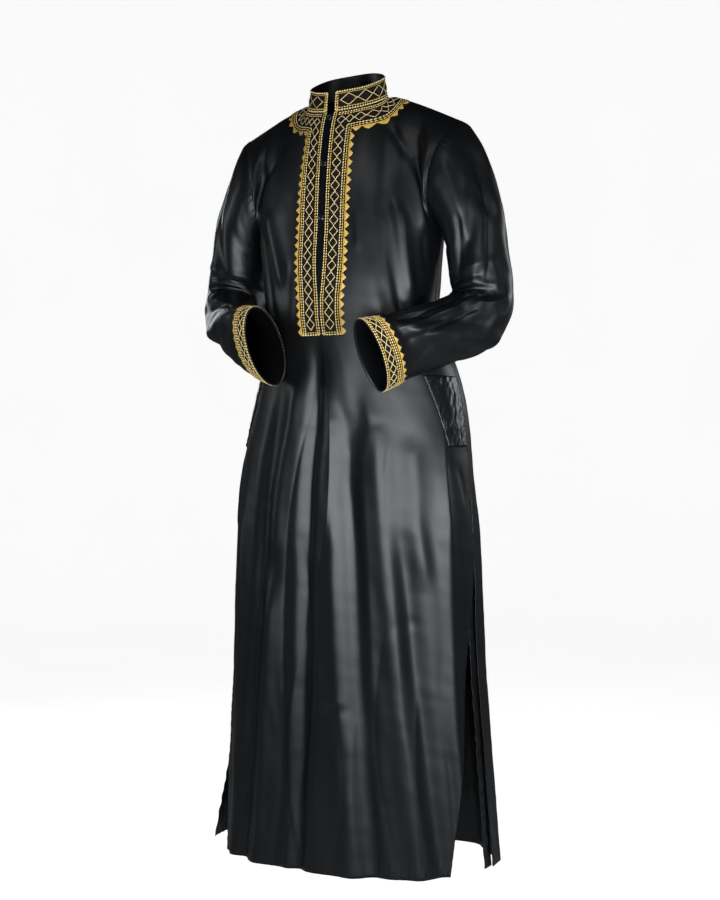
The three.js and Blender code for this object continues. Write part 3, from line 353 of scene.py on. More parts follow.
def running(steps: Array) -> Array:
    """The running sums of steps, from 0."""
    return np.concatenate([[0], np.cumsum(steps)])


def path_lengths(points: Array) -> Array:
    """Distances along a path, from its start."""
    return running(np.linalg.norm(np.diff(points, axis=0), axis=1))


def section_depth(section: dict[str, Array], on_front: Any) -> Array:
    """How far the body's front or back lies from its side seams."""
    return np.where(on_front, section["side"] - section["front"], section["back"] - section["side"])


def section_radius(section: dict[str, Array], on_front: Any) -> Array:
    """The mean radius of the body's front or back half."""
    return (section["half"] + section_depth(section, on_front)) / 2


def angle_of_x(x: Any, z: Any) -> Array:
    """The angle on the body's section, in degrees from the left, at which it lies x off the middle."""
    s = body_at(z)
    return np.degrees(np.arccos(np.clip(x / s["half"], -1, 1) ** (s["square"] / 2)))


def section_point(z: Any, angle: Any, flared: Any = None) -> Array:
    """Points of the body's section without its folds.

    Args:
        z: Heights.
        angle: Degrees round from the left side, with the front at 90 and the back at 270.
        flared: Where the back panel's right corner is flared; by default from 180 degrees on.

    Returns:
        The points, along a new last axis.
    """
    z, angle = np.broadcast_arrays(np.asarray(z, float), np.asarray(angle, float))
    s = body_at(z)
    c, q = np.cos(np.radians(angle)), np.sin(np.radians(angle))
    depth = section_depth(s, q >= 0)
    power = 2 / s["square"]
    flared = angle >= 180 if flared is None else flared
    flare = np.where(flared, s["flare"] * (1 - smooth(angle, 180, 215)), 0)
    x = s["middle"] + s["half"] * np.sign(c) * np.abs(c) ** power
    y = s["side"] - depth * np.sign(q) * np.abs(q) ** power
    normal = unit(np.stack([c / s["half"], -q / depth, np.zeros_like(z)], -1))
    return np.stack([x, y, z], -1) + normal * flare[..., None]


def ridge_shape(away: Array, crisp: float) -> Array:
    """The height across a fold: a round hump, or a crisp ridge with slopes that run out."""
    round_hump = np.exp(-away * away)
    return round_hump if crisp == 0 else mix(round_hump, np.exp(-1.5 * np.abs(away)), crisp)


def main_lift(angle: Array, z: Array, radius: Array) -> Array:
    """How far the solids' own folds lift the cloth."""
    lift = np.zeros(np.broadcast(angle, z).shape)
    for fold in MAIN_FOLDS:
        t = (z - fold.z0) / (fold.z1 - fold.z0)
        away = np.radians(angle - mix(fold.a0, fold.a1, t)) * radius / fold.width
        fade = smooth(t, -0.1, 0.12) * (1 if fold.z1 <= HEM else 1 - smooth(t, 0.88, 1.1))
        lift += fold.height * fade * np.exp(-away * away)
    return lift


def fine_lift(angle: Array, z: Array, radius: Array) -> Array:
    """How far the finer folds lift the cloth, by the distance from each one's line on the unrolled cloth."""
    lift = np.zeros(np.broadcast(angle, z).shape)
    for fold in FINE_FOLDS:
        across, down = np.radians(fold.a1 - fold.a0) * radius, fold.z1 - fold.z0
        u, v = np.radians(angle - fold.a0) * radius, z - fold.z0
        length = np.sqrt(across ** 2 + down ** 2)
        t = (u * across + v * down) / length ** 2
        bow = 0.06 * length * np.sin(np.pi * np.clip(t, 0, 1)) * math.sin(fold.z0)
        away = ((u * down - v * across) / length - bow) / fold.width
        ends = smooth(t, -0.12, 0.25) * (1 - smooth(t, 0.75, 1.12))
        lift += fold.height * ends * ridge_shape(away, fold.crisp)
    return lift


def ripples(u: Array, v: Array, seed: int, waves: Sequence[tuple[float, float, float]]) -> Array:
    """Uneven low waves over a cloth.

    Args:
        u: Positions across, in millimetres.
        v: Positions down, in millimetres.
        seed: Starts the random phases.
        waves: For each group, the wavelength across, the one down and the height.

    Returns:
        The waves' height in millimetres.
    """
    random = np.random.default_rng(seed)
    total = np.zeros(np.broadcast(u, v).shape)
    for across, down, height in waves:
        for _ in range(5):
            turn, phase = random.uniform(-0.35, 0.35), random.uniform(0, 6.28)
            stretch = random.uniform(0.7, 1.4)
            bend = 1.7 * np.sin(TURN * v / (down * 1.7) + phase * 2)
            wave = TURN * (u / across * stretch + v / down * (1 + turn)) + phase
            total += height / 2.2 * np.sin(wave + bend)
    return total


# Surfaces and meshes

class Surface:
    """A fine grid of points on the outer face of a cloth, in millimetres, with its normals."""

    def __init__(self, points: Array, wrap: bool = False, outward: int = 1) -> None:
        """Keeps the grid and works out its normals.

        Args:
            points: Rows by columns by three.
            wrap: Whether the last column meets the first.
            outward: 1 where across times down points out of the cloth, otherwise -1.
        """
        self.points, self.wrap, self.outward = points, wrap, outward
        if wrap:
            across = np.roll(points, -1, 1) - np.roll(points, 1, 1)
        else:
            across = np.gradient(points, axis=1)
        self.normals = unit(np.cross(across, np.gradient(points, axis=0))) * outward

    def lifted(self, lift: Array) -> "Surface":
        """The same grid, moved out by a height at each point."""
        return Surface(self.points + self.normals * lift[..., None], self.wrap, self.outward)

    def at(self, row: Any, column: Any, out: Any = 0.0) -> tuple[Array, Array]:
        """Points and normals between the grid's lines.

        Args:
            row: Rows, as decimals.
            column: Columns, as decimals.
            out: How far off the face the points lie.

        Returns:
            The points and their normals.
        """
        row, column, out = np.broadcast_arrays(*(np.asarray(q, float) for q in (row, column, out)))
        rows, columns = self.points.shape[:2]
        j = np.clip(np.floor(row).astype(int), 0, rows - 2)
        if self.wrap:
            i = np.floor(column).astype(int)
            i, after, across = i % columns, (i + 1) % columns, column - i
        else:
            i = np.clip(np.floor(column).astype(int), 0, columns - 2)
            after, across = i + 1, column - i
        down = (row - j)[..., None]
        across = across[..., None]

        def blend(grid: Array) -> Array:
            """Values of a grid at the places."""
            top = mix(grid[j, i], grid[j, after], across)
            return mix(top, mix(grid[j + 1, i], grid[j + 1, after], across), down)

        normals = unit(blend(self.normals))
        return blend(self.points) + normals * out[..., None], normals

    def lengths(self, axis: int, line: int) -> Array:
        """Distances along one line of the grid, from its start."""
        points = self.points[:, line] if axis == 0 else self.points[line]
        return path_lengths(points)


def grid_faces(rows: int, columns: int) -> Array:
    """The faces between a grid's points."""
    j, i = np.meshgrid(np.arange(rows - 1), np.arange(columns - 1), indexing="ij")
    n = j * columns + i
    return np.stack([n, n + columns, n + columns + 1, n + 1], -1).reshape(-1, 4)


def cloth_marks(across: Any, down: Any) -> Array:
    """Each point's place on the cloth."""
    return np.stack(np.broadcast_arrays(across, down, 0.0), -1)


class MeshBuilder:
    """Collects points and faces and makes one Blender object of them."""

    def __init__(self) -> None:
        """Starts empty."""
        self.points: list[Array] = []
        self.faces: list[Array] = []
        self.marks: list[Array] = []
        self.slots: list[Array] = []
        self.count = 0

    def add(self, points: Array, faces: Array, marks: Array | None = None) -> None:
        """Adds points and the faces between them.

        Args:
            points: The new points, in millimetres.
            faces: Their faces, numbered from the first new point.
            marks: Each point's place on the cloth or thread, in millimetres.
        """
        points = points.reshape(-1, 3)
        self.points.append(points)
        self.faces.append(faces + self.count)
        self.marks.append(np.zeros_like(points) if marks is None else marks.reshape(-1, 3))
        self.slots.append(np.zeros(len(faces)))
        self.count += len(points)

    def shell(self, surface: Surface, outer: float, inner: float, keep: Array | None = None,
              marks: Array | None = None, lining: int = 0) -> None:
        """Adds a closed wall on a surface.

        Args:
            surface: The grid that the wall follows.
            outer: Distance of the outer face.
            inner: Distance of the inner face.
            keep: Which cells the wall has; all of them by default.
            marks: The grid's places on the cloth.
            lining: The inner face's material slot.
        """
        rows, line = surface.points.shape[:2]
        across = line if surface.wrap else line - 1
        keep = np.ones((rows - 1, across), bool) if keep is None else keep
        number = np.arange(rows * line).reshape(rows, line)
        number = np.concatenate([number, number[:, :1]], 1) if surface.wrap else number
        a, b, c, d = number[:-1, :-1], number[:-1, 1:], number[1:, 1:], number[1:, :-1]
        face = np.stack([a, d, c, b], -1)[keep]
        back = rows * line
        sides = []
        padded = np.pad(keep, 1)
        if surface.wrap:
            padded[1:-1, 0], padded[1:-1, -1] = keep[:, -1], keep[:, 0]
        around = padded[1:-1, :-2], padded[1:-1, 2:], padded[:-2, 1:-1], padded[2:, 1:-1]
        for (p, q), other in zip(((d, a), (b, c), (a, b), (c, d)), around):
            rim = keep & ~other
            sides.append(np.stack([p[rim], q[rim], q[rim] + back, p[rim] + back], -1))
        inside = face[:, ::-1] + back
        outside = np.concatenate([face, *sides])
        if surface.outward < 0:
            outside, inside = outside[:, ::-1], inside[:, ::-1]
        points = np.concatenate([(surface.points + surface.normals * outer).reshape(-1, 3),
                                 (surface.points + surface.normals * inner).reshape(-1, 3)])
        marks = np.zeros_like(surface.points) if marks is None else marks
        marks = np.concatenate([marks.reshape(-1, 3)] * 2)
        used = np.unique(np.concatenate([outside.ravel(), inside.ravel()]))
        place = np.full(len(points), -1)
        place[used] = np.arange(len(used))
        start = self.count
        self.add(points[used], place[outside], marks[used])
        self.faces.append(place[inside] + start)
        self.slots.append(np.full(len(inside), lining))

    def tube(self, centres: Array, normals: Array, half_width: Any, half_height: Any, sides: int = 6,
             closed: bool = False) -> None:
        """Adds a thread along a path.

        Args:
            centres: Points of the path.
            normals: The cloth's normals at them.
            half_width: Half the thread's width along the cloth.
            half_height: Half its height off the cloth.
            sides: Sides of its section.
            closed: Whether its end meets its start.
        """
        count = len(centres)
        if closed:
            along = unit(np.roll(centres, -1, 0) - np.roll(centres, 1, 0))
        else:
            along = unit(np.gradient(centres, axis=0))
        side = unit(np.cross(normals, along))
        up = unit(np.cross(along, side))
        turn = np.arange(sides) * 2 * math.pi / sides
        wide = np.broadcast_to(np.asarray(half_width, float), (count,))[:, None, None]
        high = np.broadcast_to(np.asarray(half_height, float), (count,))[:, None, None]
        ring = centres[:, None] + side[:, None] * (np.cos(turn)[None, :, None] * wide) \
            + up[:, None] * (np.sin(turn)[None, :, None] * high)
        steps = count if closed else count - 1
        j, i = np.meshgrid(np.arange(steps), np.arange(sides), indexing="ij")
        here, there, next_side = j * sides, (j + 1) % count * sides, (i + 1) % sides
        faces = np.stack([here + i, here + next_side, there + next_side, there + i], -1).reshape(-1, 4)
        lengths = path_lengths(centres)
        marks = np.stack(np.broadcast_arrays(lengths[:, None], turn[None, :], 0.0), -1)
        points = ring.reshape(-1, 3)
        if not closed:
            points = np.concatenate([points, centres[:1], centres[-1:]])
            tips = [[lengths[0], 0.0, 0.0], [lengths[-1], 0.0, 0.0]]
            marks = np.concatenate([marks.reshape(-1, 3), tips])
            n, after = np.arange(sides), (np.arange(sides) + 1) % sides
            first, last = count * sides, (count - 1) * sides
            cap = np.stack([np.full(sides, first), after, n, n], -1)
            cap_end = np.stack([np.full(sides, first + 1), last + n, last + after, last + after], -1)
            faces = np.concatenate([faces, cap, cap_end])
        self.add(points, faces, marks)

    def build(self, name: str, materials: Sequence[bpy.types.Material]) -> bpy.types.Object:
        """Makes the object.

        Args:
            name: The piece's name.
            materials: Its materials, in the order of the slots.

        Returns:
            The object, linked to the scene.
        """
        points = np.concatenate(self.points) * MM
        mesh = bpy.data.meshes.new(name)
        faces = [tuple(dict.fromkeys(face)) for face in np.concatenate(self.faces).tolist()]
        mesh.from_pydata(points.tolist(), [], faces)
        mesh.polygons.foreach_set("use_smooth", [True] * len(mesh.polygons))
        mesh.polygons.foreach_set("material_index", np.concatenate(self.slots).astype(int))
        layer = mesh.attributes.new("cloth", "FLOAT_VECTOR", "POINT")
        layer.data.foreach_set("vector", np.concatenate(self.marks).astype(np.float32).ravel())
        for material in materials:
            mesh.materials.append(material)
        mesh.validate()
        mesh.update()
        piece = bpy.data.objects.new(name, mesh)
        bpy.context.scene.collection.objects.link(piece)
        return piece


def dress(piece: bpy.types.Object, slot: str, *nodes: str) -> bpy.types.Object:
    """Makes a piece ride on the garment, in place of the named nodes."""
    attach(piece, "root")
    if nodes:
        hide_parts(*nodes)
    log.info("%s: %d faces", piece.name, len(piece.data.polygons))
    return piece


# Shader expressions

class Value:
    """A number on a shader socket, which adds its Math nodes as it is worked with."""

    def __init__(self, shader: "Nodes", socket: bpy.types.NodeSocket) -> None:
        """Wraps a socket of a tree."""
        self.shader, self.socket = shader, socket

    def maths(self, operation: str, *others: Any) -> "Value":
        """The result of a Math node on this number and others."""
        values = [self, *others]
        node = self.shader.node("ShaderNodeMath", {"operation": operation}, dict(enumerate(values)))
        return Value(self.shader, node.outputs[0])

    def __add__(self, other: Any) -> "Value":
        """The sum."""
        return self.maths("ADD", other)

    __radd__ = __add__

    def __mul__(self, other: Any) -> "Value":
        """The product."""
        return self.maths("MULTIPLY", other)

    __rmul__ = __mul__

    def sine(self) -> "Value":
        """The sine, of radians."""
        return self.maths("SINE")


class Nodes:
    """A node tree that nodes are added to."""

    def __init__(self, owner: Any) -> None:
        """Empties the tree of a material or a world."""
        owner.use_nodes = True
        self.tree = owner.node_tree
        self.tree.nodes.clear()

    def node(self, kind: str, settings: dict[str, Any] | None = None,
             inputs: dict[Any, Any] | None = None) -> bpy.types.Node:
        """Adds one node.

        Args:
            kind: The node's type.
            settings: Its own settings, which are set first.
            inputs: Values or links of its sockets, by name or number.

        Returns:
            The node.
        """
        node = self.tree.nodes.new(kind)
        for name, value in (settings or {}).items():
            setattr(node, name, value)
        for key, value in (inputs or {}).items():
            self.feed(node.inputs[key], value)
        return node

    def feed(self, socket: bpy.types.NodeSocket, value: Any) -> None:
        """Sets a socket to a value, or links it."""
        if isinstance(value, Value):
            value = value.socket
        if isinstance(value, bpy.types.NodeSocket):
            self.tree.links.new(value, socket)
        else:
            socket.default_value = value


class Shader(Nodes):
    """A material's node tree, with a Principled shader."""

    def __init__(self, name: str) -> None:
        """Starts a material of this name."""
        self.material = bpy.data.materials.new(name)
        super().__init__(self.material)
        self.surface = self.node("ShaderNodeBsdfPrincipled")
        self.node("ShaderNodeOutputMaterial", {}, {"Surface": self.surface.outputs[0]})

    def places(self, scale: tuple[float, float, float] = (1, 1, 1)) -> bpy.types.NodeSocket:
        """The place on the cloth or thread in millimetres, times a scale for each direction."""
        place = self.node("ShaderNodeAttribute", {"attribute_name": "cloth"})
        scaled = self.node("ShaderNodeVectorMath", {"operation": "MULTIPLY"},
                           {0: place.outputs["Vector"], 1: scale})
        return scaled.outputs[0]

    def part(self, vector: bpy.types.NodeSocket, axis: int) -> Value:
        """One part of a vector."""
        return Value(self, self.node("ShaderNodeSeparateXYZ", {}, {0: vector}).outputs[axis])

    def noise(self, vector: bpy.types.NodeSocket, scale: float, detail: float = 2.0) -> Value:
        """Smooth noise between 0 and 1."""
        node = self.node("ShaderNodeTexNoise", {}, {"Vector": vector, "Scale": scale, "Detail": detail})
        return Value(self, node.outputs[0])

    def blend(self, factor: Any, a: tuple[float, ...], b: Any) -> bpy.types.NodeSocket:
        """A colour between two."""
        node = self.node("ShaderNodeMix", {"data_type": "RGBA"}, {0: factor, 6: (*a, 1), 7: (*b, 1)})
        return node.outputs[2]

    def bump(self, height: Value, strength: float, distance: float) -> bpy.types.NodeSocket:
        """A bumped normal."""
        node = self.node("ShaderNodeBump", {}, {"Height": height, "Strength": strength, "Distance": distance})
        return node.outputs[0]

    def finish(self, **sockets: Any) -> bpy.types.Material:
        """Feeds the Principled shader, by socket names with _ for spaces, and returns the material."""
        for name, value in sockets.items():
            self.feed(self.surface.inputs[name.replace("_", " ")], value)
        return self.material


@dataclass(frozen=True)
class Satin:
    """Black satin: fine floats down the cloth, a cool broad sheen and slightly uneven gloss."""

    name: str
    dark: tuple[float, float, float] = (0.0016, 0.0018, 0.0023)
    light: tuple[float, float, float] = (0.0034, 0.0038, 0.0050)
    roughness: float = 0.42

    def material(self) -> bpy.types.Material:
        """The satin's material."""
        shader = Shader(self.name)
        floats = shader.noise(shader.places((2.4, 0.16, 1)), 1.0, 2.0)
        picks = (shader.part(shader.places((0, 5.2, 0)), 1) + floats * 3).sine() * 0.5 + 0.5
        cloudy = shader.noise(shader.places((0.011, 0.005, 1)), 1.0, 3.0)
        slubs = shader.noise(shader.places((0.35, 0.035, 1)), 1.0, 1.0)
        colour = shader.blend(cloudy * 0.6 + slubs * 0.4, self.dark, self.light)
        height = floats * 0.7 + picks * 0.2 + slubs * 0.35
        return shader.finish(
            Base_Color=colour, Roughness=cloudy * 0.12 + slubs * 0.05 + (self.roughness - 0.085),
            Normal=shader.bump(height, 0.22, 0.00010), Specular_IOR_Level=0.5)


@dataclass(frozen=True)
class Ground:
    """The close dark cloth under the embroidery."""

    name: str = "ground_cloth"

    def material(self) -> bpy.types.Material:
        """The ground's material."""
        shader = Shader(self.name)
        warp = shader.part(shader.places((7.5, 0, 0)), 0).sine()
        weft = shader.part(shader.places((0, 7.5, 0)), 1).sine()
        specks = shader.noise(shader.places((0.9, 0.9, 1)), 1.0, 3.0)
        colour = shader.blend(specks, (0.006, 0.0034, 0.0024), (0.017, 0.009, 0.0055))
        return shader.finish(Base_Color=colour, Roughness=specks * 0.2 + 0.62, Specular_IOR_Level=0.2,
                             Normal=shader.bump(warp * weft + specks, 0.5, 0.0002))


@dataclass(frozen=True)
class Thread:
    """Shiny embroidery thread: two plies twisted round each other, in uneven tones, with painted shade in the
    grooves between the plies and painted highlight on their crests.
    """

    name: str
    dark: tuple[float, float, float]
    light: tuple[float, float, float]
    metallic: float = 0.2
    roughness: float = 0.42

    def material(self) -> bpy.types.Material:
        """The thread's material."""
        shader = Shader(self.name)
        place = shader.places()
        ply_relief_and_shade = (shader.part(place, 0) * 5.5 + shader.part(place, 1) * 2).sine() * 0.5 + 0.5
        tone = shader.noise(shader.places((0.22, 0.5, 1)), 1.0, 2.0)
        # The colour is darker in the groove between the plies and lighter on their crests: painted shade and
        # highlight of the twist, mixed with the thread's own uneven tone.
        colour = shader.blend((tone * 0.55 + ply_relief_and_shade * 0.45).maths("MINIMUM", 1.0), self.dark, self.light)
        return shader.finish(Base_Color=colour, Roughness=tone * 0.16 + (self.roughness - 0.08),
                             Normal=shader.bump(ply_relief_and_shade, 0.4, 0.00025), Metallic=self.metallic,
                             Sheen_Weight=0.15, Sheen_Roughness=0.4)


@dataclass(frozen=True)
class ButtonGloss:
    """Black glossy button with a soft, barely uneven face."""

    name: str = "button_gloss"

    def material(self) -> bpy.types.Material:
        """The button's material."""
        shader = Shader(self.name)
        wear = shader.noise(shader.places((0.8, 0.8, 0.8)), 1.0, 3.0)
        colour = shader.blend(wear, (0.004, 0.004, 0.005), (0.012, 0.012, 0.014))
        return shader.finish(Base_Color=colour, Roughness=wear * 0.12 + 0.1,
                             Normal=shader.bump(wear, 0.12, 0.0002), Coat_Weight=0.5, Coat_Roughness=0.08)


@dataclass(frozen=True)
class Studio:
    """The pale paper of the floor and the backdrop, which only the camera sees lit."""

    name: str = "studio_paper"

    def material(self) -> bpy.types.Material:
        """The paper's material."""
        shader = Shader(self.name)
        place = shader.node("ShaderNodeTexCoord").outputs["Object"]
        grain = shader.noise(place, 2.0, 3.0)
        colour = shader.blend(grain, (0.40, 0.40, 0.405), (0.44, 0.44, 0.44))
        seen = Value(shader, shader.node("ShaderNodeLightPath").outputs["Is Camera Ray"])
        glow = shader.blend(seen * (grain * 0.03 + 0.97), (0, 0, 0), (1, 1, 1))
        return shader.finish(Base_Color=colour, Roughness=grain * 0.1 + 0.75,
                             Emission_Color=glow, Emission_Strength=0.93)


def finish_of(kind: type, *values: Any, **named: Any) -> Any:
    """A field that makes a finish's material when the finishes are made."""
    return field(default_factory=lambda: kind(*values, **named).material())


@dataclass
class Finishes:
    """Every material of the garment, made once."""

    satin: bpy.types.Material = finish_of(Satin, "satin_black")
    facing: bpy.types.Material = finish_of(Satin, "satin_facing", roughness=0.34,
                                           light=(0.0040, 0.0045, 0.0060))
    ground: bpy.types.Material = finish_of(Ground)
    gold: bpy.types.Material = finish_of(Thread, "thread_gold", (0.62, 0.35, 0.045), (0.97, 0.66, 0.17), 0.08)
    cream: bpy.types.Material = finish_of(Thread, "thread_cream", (0.76, 0.54, 0.19), (1.0, 0.85, 0.48), 0.05)
    button: bpy.types.Material = finish_of(ButtonGloss)


# Panels

def neck_point(degrees_from_front: Any) -> Array:
    """Points of the neck's seam, by the angle from the front towards the left."""
    a = np.radians(np.asarray(degrees_from_front, float))
    y = NECK_BACK - NECK_DEEP * np.cos(a)
    return np.stack([NECK_HALF * np.sin(a), y, NECK_LIFT + NECK_SLOPE * y], -1)


def neck_angle(x: Any) -> Any:
    """The neck seam's angle from the front at which it lies x off the middle."""
    return np.degrees(np.arcsin(np.asarray(x, float) / NECK_HALF))


def lower_heights() -> Array:
    """The heights of the rows from the armpit to the hem."""
    chest = np.linspace(ARMPIT, STRIP_END, CHEST_ROWS + 1)
    return np.concatenate([chest, np.linspace(STRIP_END, HEM, SKIRT_ROWS + 1)[1:]])


def front_angles(z: Array) -> Array:
    """The angles of the front panel's lines at each height, from the left side to the right."""
    spread = mix(1, 1.75, smooth(-z, -STRIP_END, 1100))
    inner = mix(mix(SLIT, SLIT_END_HALF, smooth(-z, 290, -SLIT_END)), 11, smooth(-z, -STRIP_END, 700))
    strip = np.stack([angle_of_x(inner + (x - SLIT) * spread, z) for x in STRIP_LINES[::-1]], -1)
    edge = np.maximum(body_at(z)["edge"], 0)
    outer = SHOULDER_COLUMNS + NECK_COLUMNS
    share = np.arange(outer) / outer
    left = np.concatenate([mix(edge[:, None], strip[:, :1], share[None, :]), strip], 1)
    return np.concatenate([left, 180 - left[:, ::-1]], 1)


def back_angles(z: Array) -> Array:
    """The angles of the back panel's lines at each height, from the right side to the left."""
    count = 2 * BACK_SHOULDER + BACK_NECK
    return np.broadcast_to(np.linspace(180, 360, count + 1), (len(z), count + 1))


def top_edge(columns: int, neck_angles: Array) -> Array:
    """The top edge of a panel's left half, from the shoulder's tip to the middle."""
    t = np.arange(columns)[:, None] / columns
    rise = SHOULDER_RISE * np.sin(np.pi * (1 - t) ** 0.6)
    shoulder = mix(SHOULDER, neck_point(NECK_SIDE), t) + rise * np.array([0, 0, 1])
    return np.concatenate([shoulder, neck_point(neck_angles)])


def yoke_rows(panel: str, bottom: Array, top: Array, shoulder: int, fixed: int, rounds: int) -> Array:
    """The yoke's rows, from the top edge down to the last one above the armpit's.

    Args:
        panel: "front" or "back".
        bottom: The armpit's row.
        top: The top edge.
        shoulder: Columns along the shoulder.
        fixed: The line from which columns stay straight.
        rounds: How often the grid is eased round the neck's sides.

    Returns:
        The rows' points.
    """
    forward = 1 if panel == "front" else -1
    last = len(bottom) - 1
    leave, reach = np.zeros_like(bottom), np.zeros_like(bottom)
    table = NECK_REACH[panel]
    for k in range(last + 1):
        i, side = min(k, last - k), 1 if k <= last - k else -1
        inward = smooth(i, 0, 5)
        place = min(i - shoulder + 2, len(table) - 1)
        ridge = table[place] if place >= 0 else np.array([0, 150 * forward, 30.0])
        turn = np.array([side * forward, 1, 1])
        leave[k] = mix(EDGE_TANGENTS[panel][0], np.array([0, 10 * forward, 200.0]), inward) * turn
        reach[k] = mix(EDGE_TANGENTS[panel][1], ridge, inward) * turn
    t = (1 - np.arange(YOKE_ROWS + 1) / YOKE_ROWS)[:, None, None]
    rows = hermite(bottom, top, leave, reach, t)
    line = np.minimum(np.arange(last + 1), last - np.arange(last + 1))
    share = 0.5 * (1 - smooth(np.abs(line - shoulder - 0.5), 1.5, 5))
    share = share[None, :] * (1 - smooth(np.arange(YOKE_ROWS + 1), 4, 8))[:, None]
    share[0] = 0
    share[:, line >= fixed] = 0
    for _ in range(rounds):
        mean = rows.copy()
        mean[1:-1, 1:-1] = (rows[1:-1, :-2] + rows[1:-1, 2:] + rows[:-2, 1:-1] + rows[2:, 1:-1]) / 4
        rows = mix(rows, mean, share[..., None])
    return rows[:-1]


@dataclass
class Panel:
    """A fine panel of the body, with the places of its lines and its cloth's coordinates."""

    surface: Surface
    angles: Array
    across: Array
    down: Array
    row_knots: Array
    column_knots: Array

    def row_of_knot(self, knot: float) -> float:
        """The fine row at a line of the coarse grid."""
        return float(index_at(self.down, value_at(self.row_knots, knot)))

    def column_of_knot(self, knot: float) -> float:
        """The fine column at a line of the coarse grid."""
        return float(index_at(self.across, value_at(self.column_knots, knot)))


@dataclass(frozen=True)
class Sewing:
    """The gathering that stitching leaves along the side seams, the armholes and the turned hem."""

    seam_pitch: float = 9.5
    seam_reach: float = 7.0
    seam_height: float = 0.35
    turning: float = 22.0
    groove: float = 0.55
    step: float = 0.35
    hem_pitch: float = 13.0
    hem_height: float = 0.3

    def seam_lift(self, across: Array, down: Array) -> Array:
        """The puckers along a panel's two edges."""
        edge = np.minimum(across, across[:, -1:] - across)
        pucker = np.sin(TURN * down / self.seam_pitch + 2.2 * np.sin(down / 37))
        return self.seam_height * (pucker * np.exp(-edge / self.seam_reach))

    def hem_edge(self, above: Array) -> Array:
        """The groove of the hem's stitching and the turned edge's thickness."""
        groove = -self.groove * np.exp(-((above - self.turning) / 1.8) ** 2)
        return groove + self.step * (1 - smooth(above, self.turning - 2, self.turning + 1))

    def hem_pucker(self, across: Array, above: Array) -> Array:
        """The puckers along the hem."""
        pucker = np.sin(TURN * across / self.hem_pitch + 1.9 * np.sin(across / 29))
        return self.hem_height * pucker * np.exp(-(above / 24) ** 2)


SEWING = Sewing()
# Ripples of the panels: wavelengths across and down, and height
PANEL_WAVES = ((75, 260, 0.55), (34, 170, 0.16), (120, 60, 0.22))


def fine_panel(coarse: Array, angles: Array, step: tuple[float, float], fixed: Sequence[int],
               fixed_rows: Sequence[int], seed: int, flat_columns: tuple[int, int] | None) -> Panel:
    """Refines a coarse grid of a panel and lays its folds on it.

    Args:
        coarse: The coarse grid, without folds.
        angles: Each coarse point's angle.
        step: Distance between fine rows and fine columns.
        fixed: Coarse columns that the fine grid keeps.
        fixed_rows: Coarse rows that the fine grid keeps.
        seed: Starts the ripples.
        flat_columns: Coarse columns between which bands keep the cloth free of fine folds.

    Returns:
        The fine panel.
    """
    row_step = np.linalg.norm(np.diff(coarse, axis=0), axis=2).mean(1)
    column_step = np.linalg.norm(np.diff(coarse[YOKE_ROWS:], axis=1), axis=2).mean(0)
    row_knots = running(row_step)
    column_knots = running(column_step)

    def places(knots: Array, keep: Sequence[int], spacing: float) -> Array:
        """Evenly spaced places that meet the kept lines."""
        stops = [knots[0], *(knots[k] for k in keep), knots[-1]]
        parts = [np.linspace(a, b, max(int(round((b - a) / spacing)), 1) + 1)[:-1]
                 for a, b in zip(stops, stops[1:])]
        return np.concatenate([*parts, [knots[-1]]])

    down, across = places(row_knots, fixed_rows, step[0]), places(column_knots, fixed, step[1])
    weights_down, weights_across = spline_weights(row_knots, down), spline_weights(column_knots, across)
    points = np.einsum("nr,rck,mc->nmk", weights_down, coarse, weights_across)
    fine_angles = weights_down @ angles @ weights_across.T
    z = points[..., 2]
    radius = section_radius(body_at(np.clip(z, HEM, ARMPIT)), fine_angles < 180)
    row = index_at(row_knots, down)[:, None]
    waves = ripples(across[None, :], down[:, None], seed, PANEL_WAVES)
    fine = 0.6 * fine_lift(fine_angles, z, radius) + waves * (0.3 + 0.5 * smooth(-z, 100, 700))
    fine *= smooth(row, 0.3, 2.5)
    if flat_columns:
        low, high = (column_knots[k] for k in flat_columns)
        on_strip = smooth(across, low - 12, low + 2) * (1 - smooth(across, high - 2, high + 12))
        fine *= 1 - 0.9 * on_strip[None, :] * (1 - smooth(-z, -STRIP_END, -STRIP_END + 60))
    fine += SEWING.seam_lift(across[None, :], down[:, None]) * smooth(row, 0.2, 1.5)
    fine += SEWING.hem_edge(z - HEM)
    fine += SEWING.hem_pucker(across[None, :], z - HEM)
    lift = main_lift(fine_angles, z, radius) * smooth(row, 0, 3) + fine
    direction = Surface(points).normals
    direction[..., 2] *= 0.35
    return Panel(Surface(points + unit(direction) * lift[..., None]), fine_angles, across, down,
                 row_knots, column_knots)


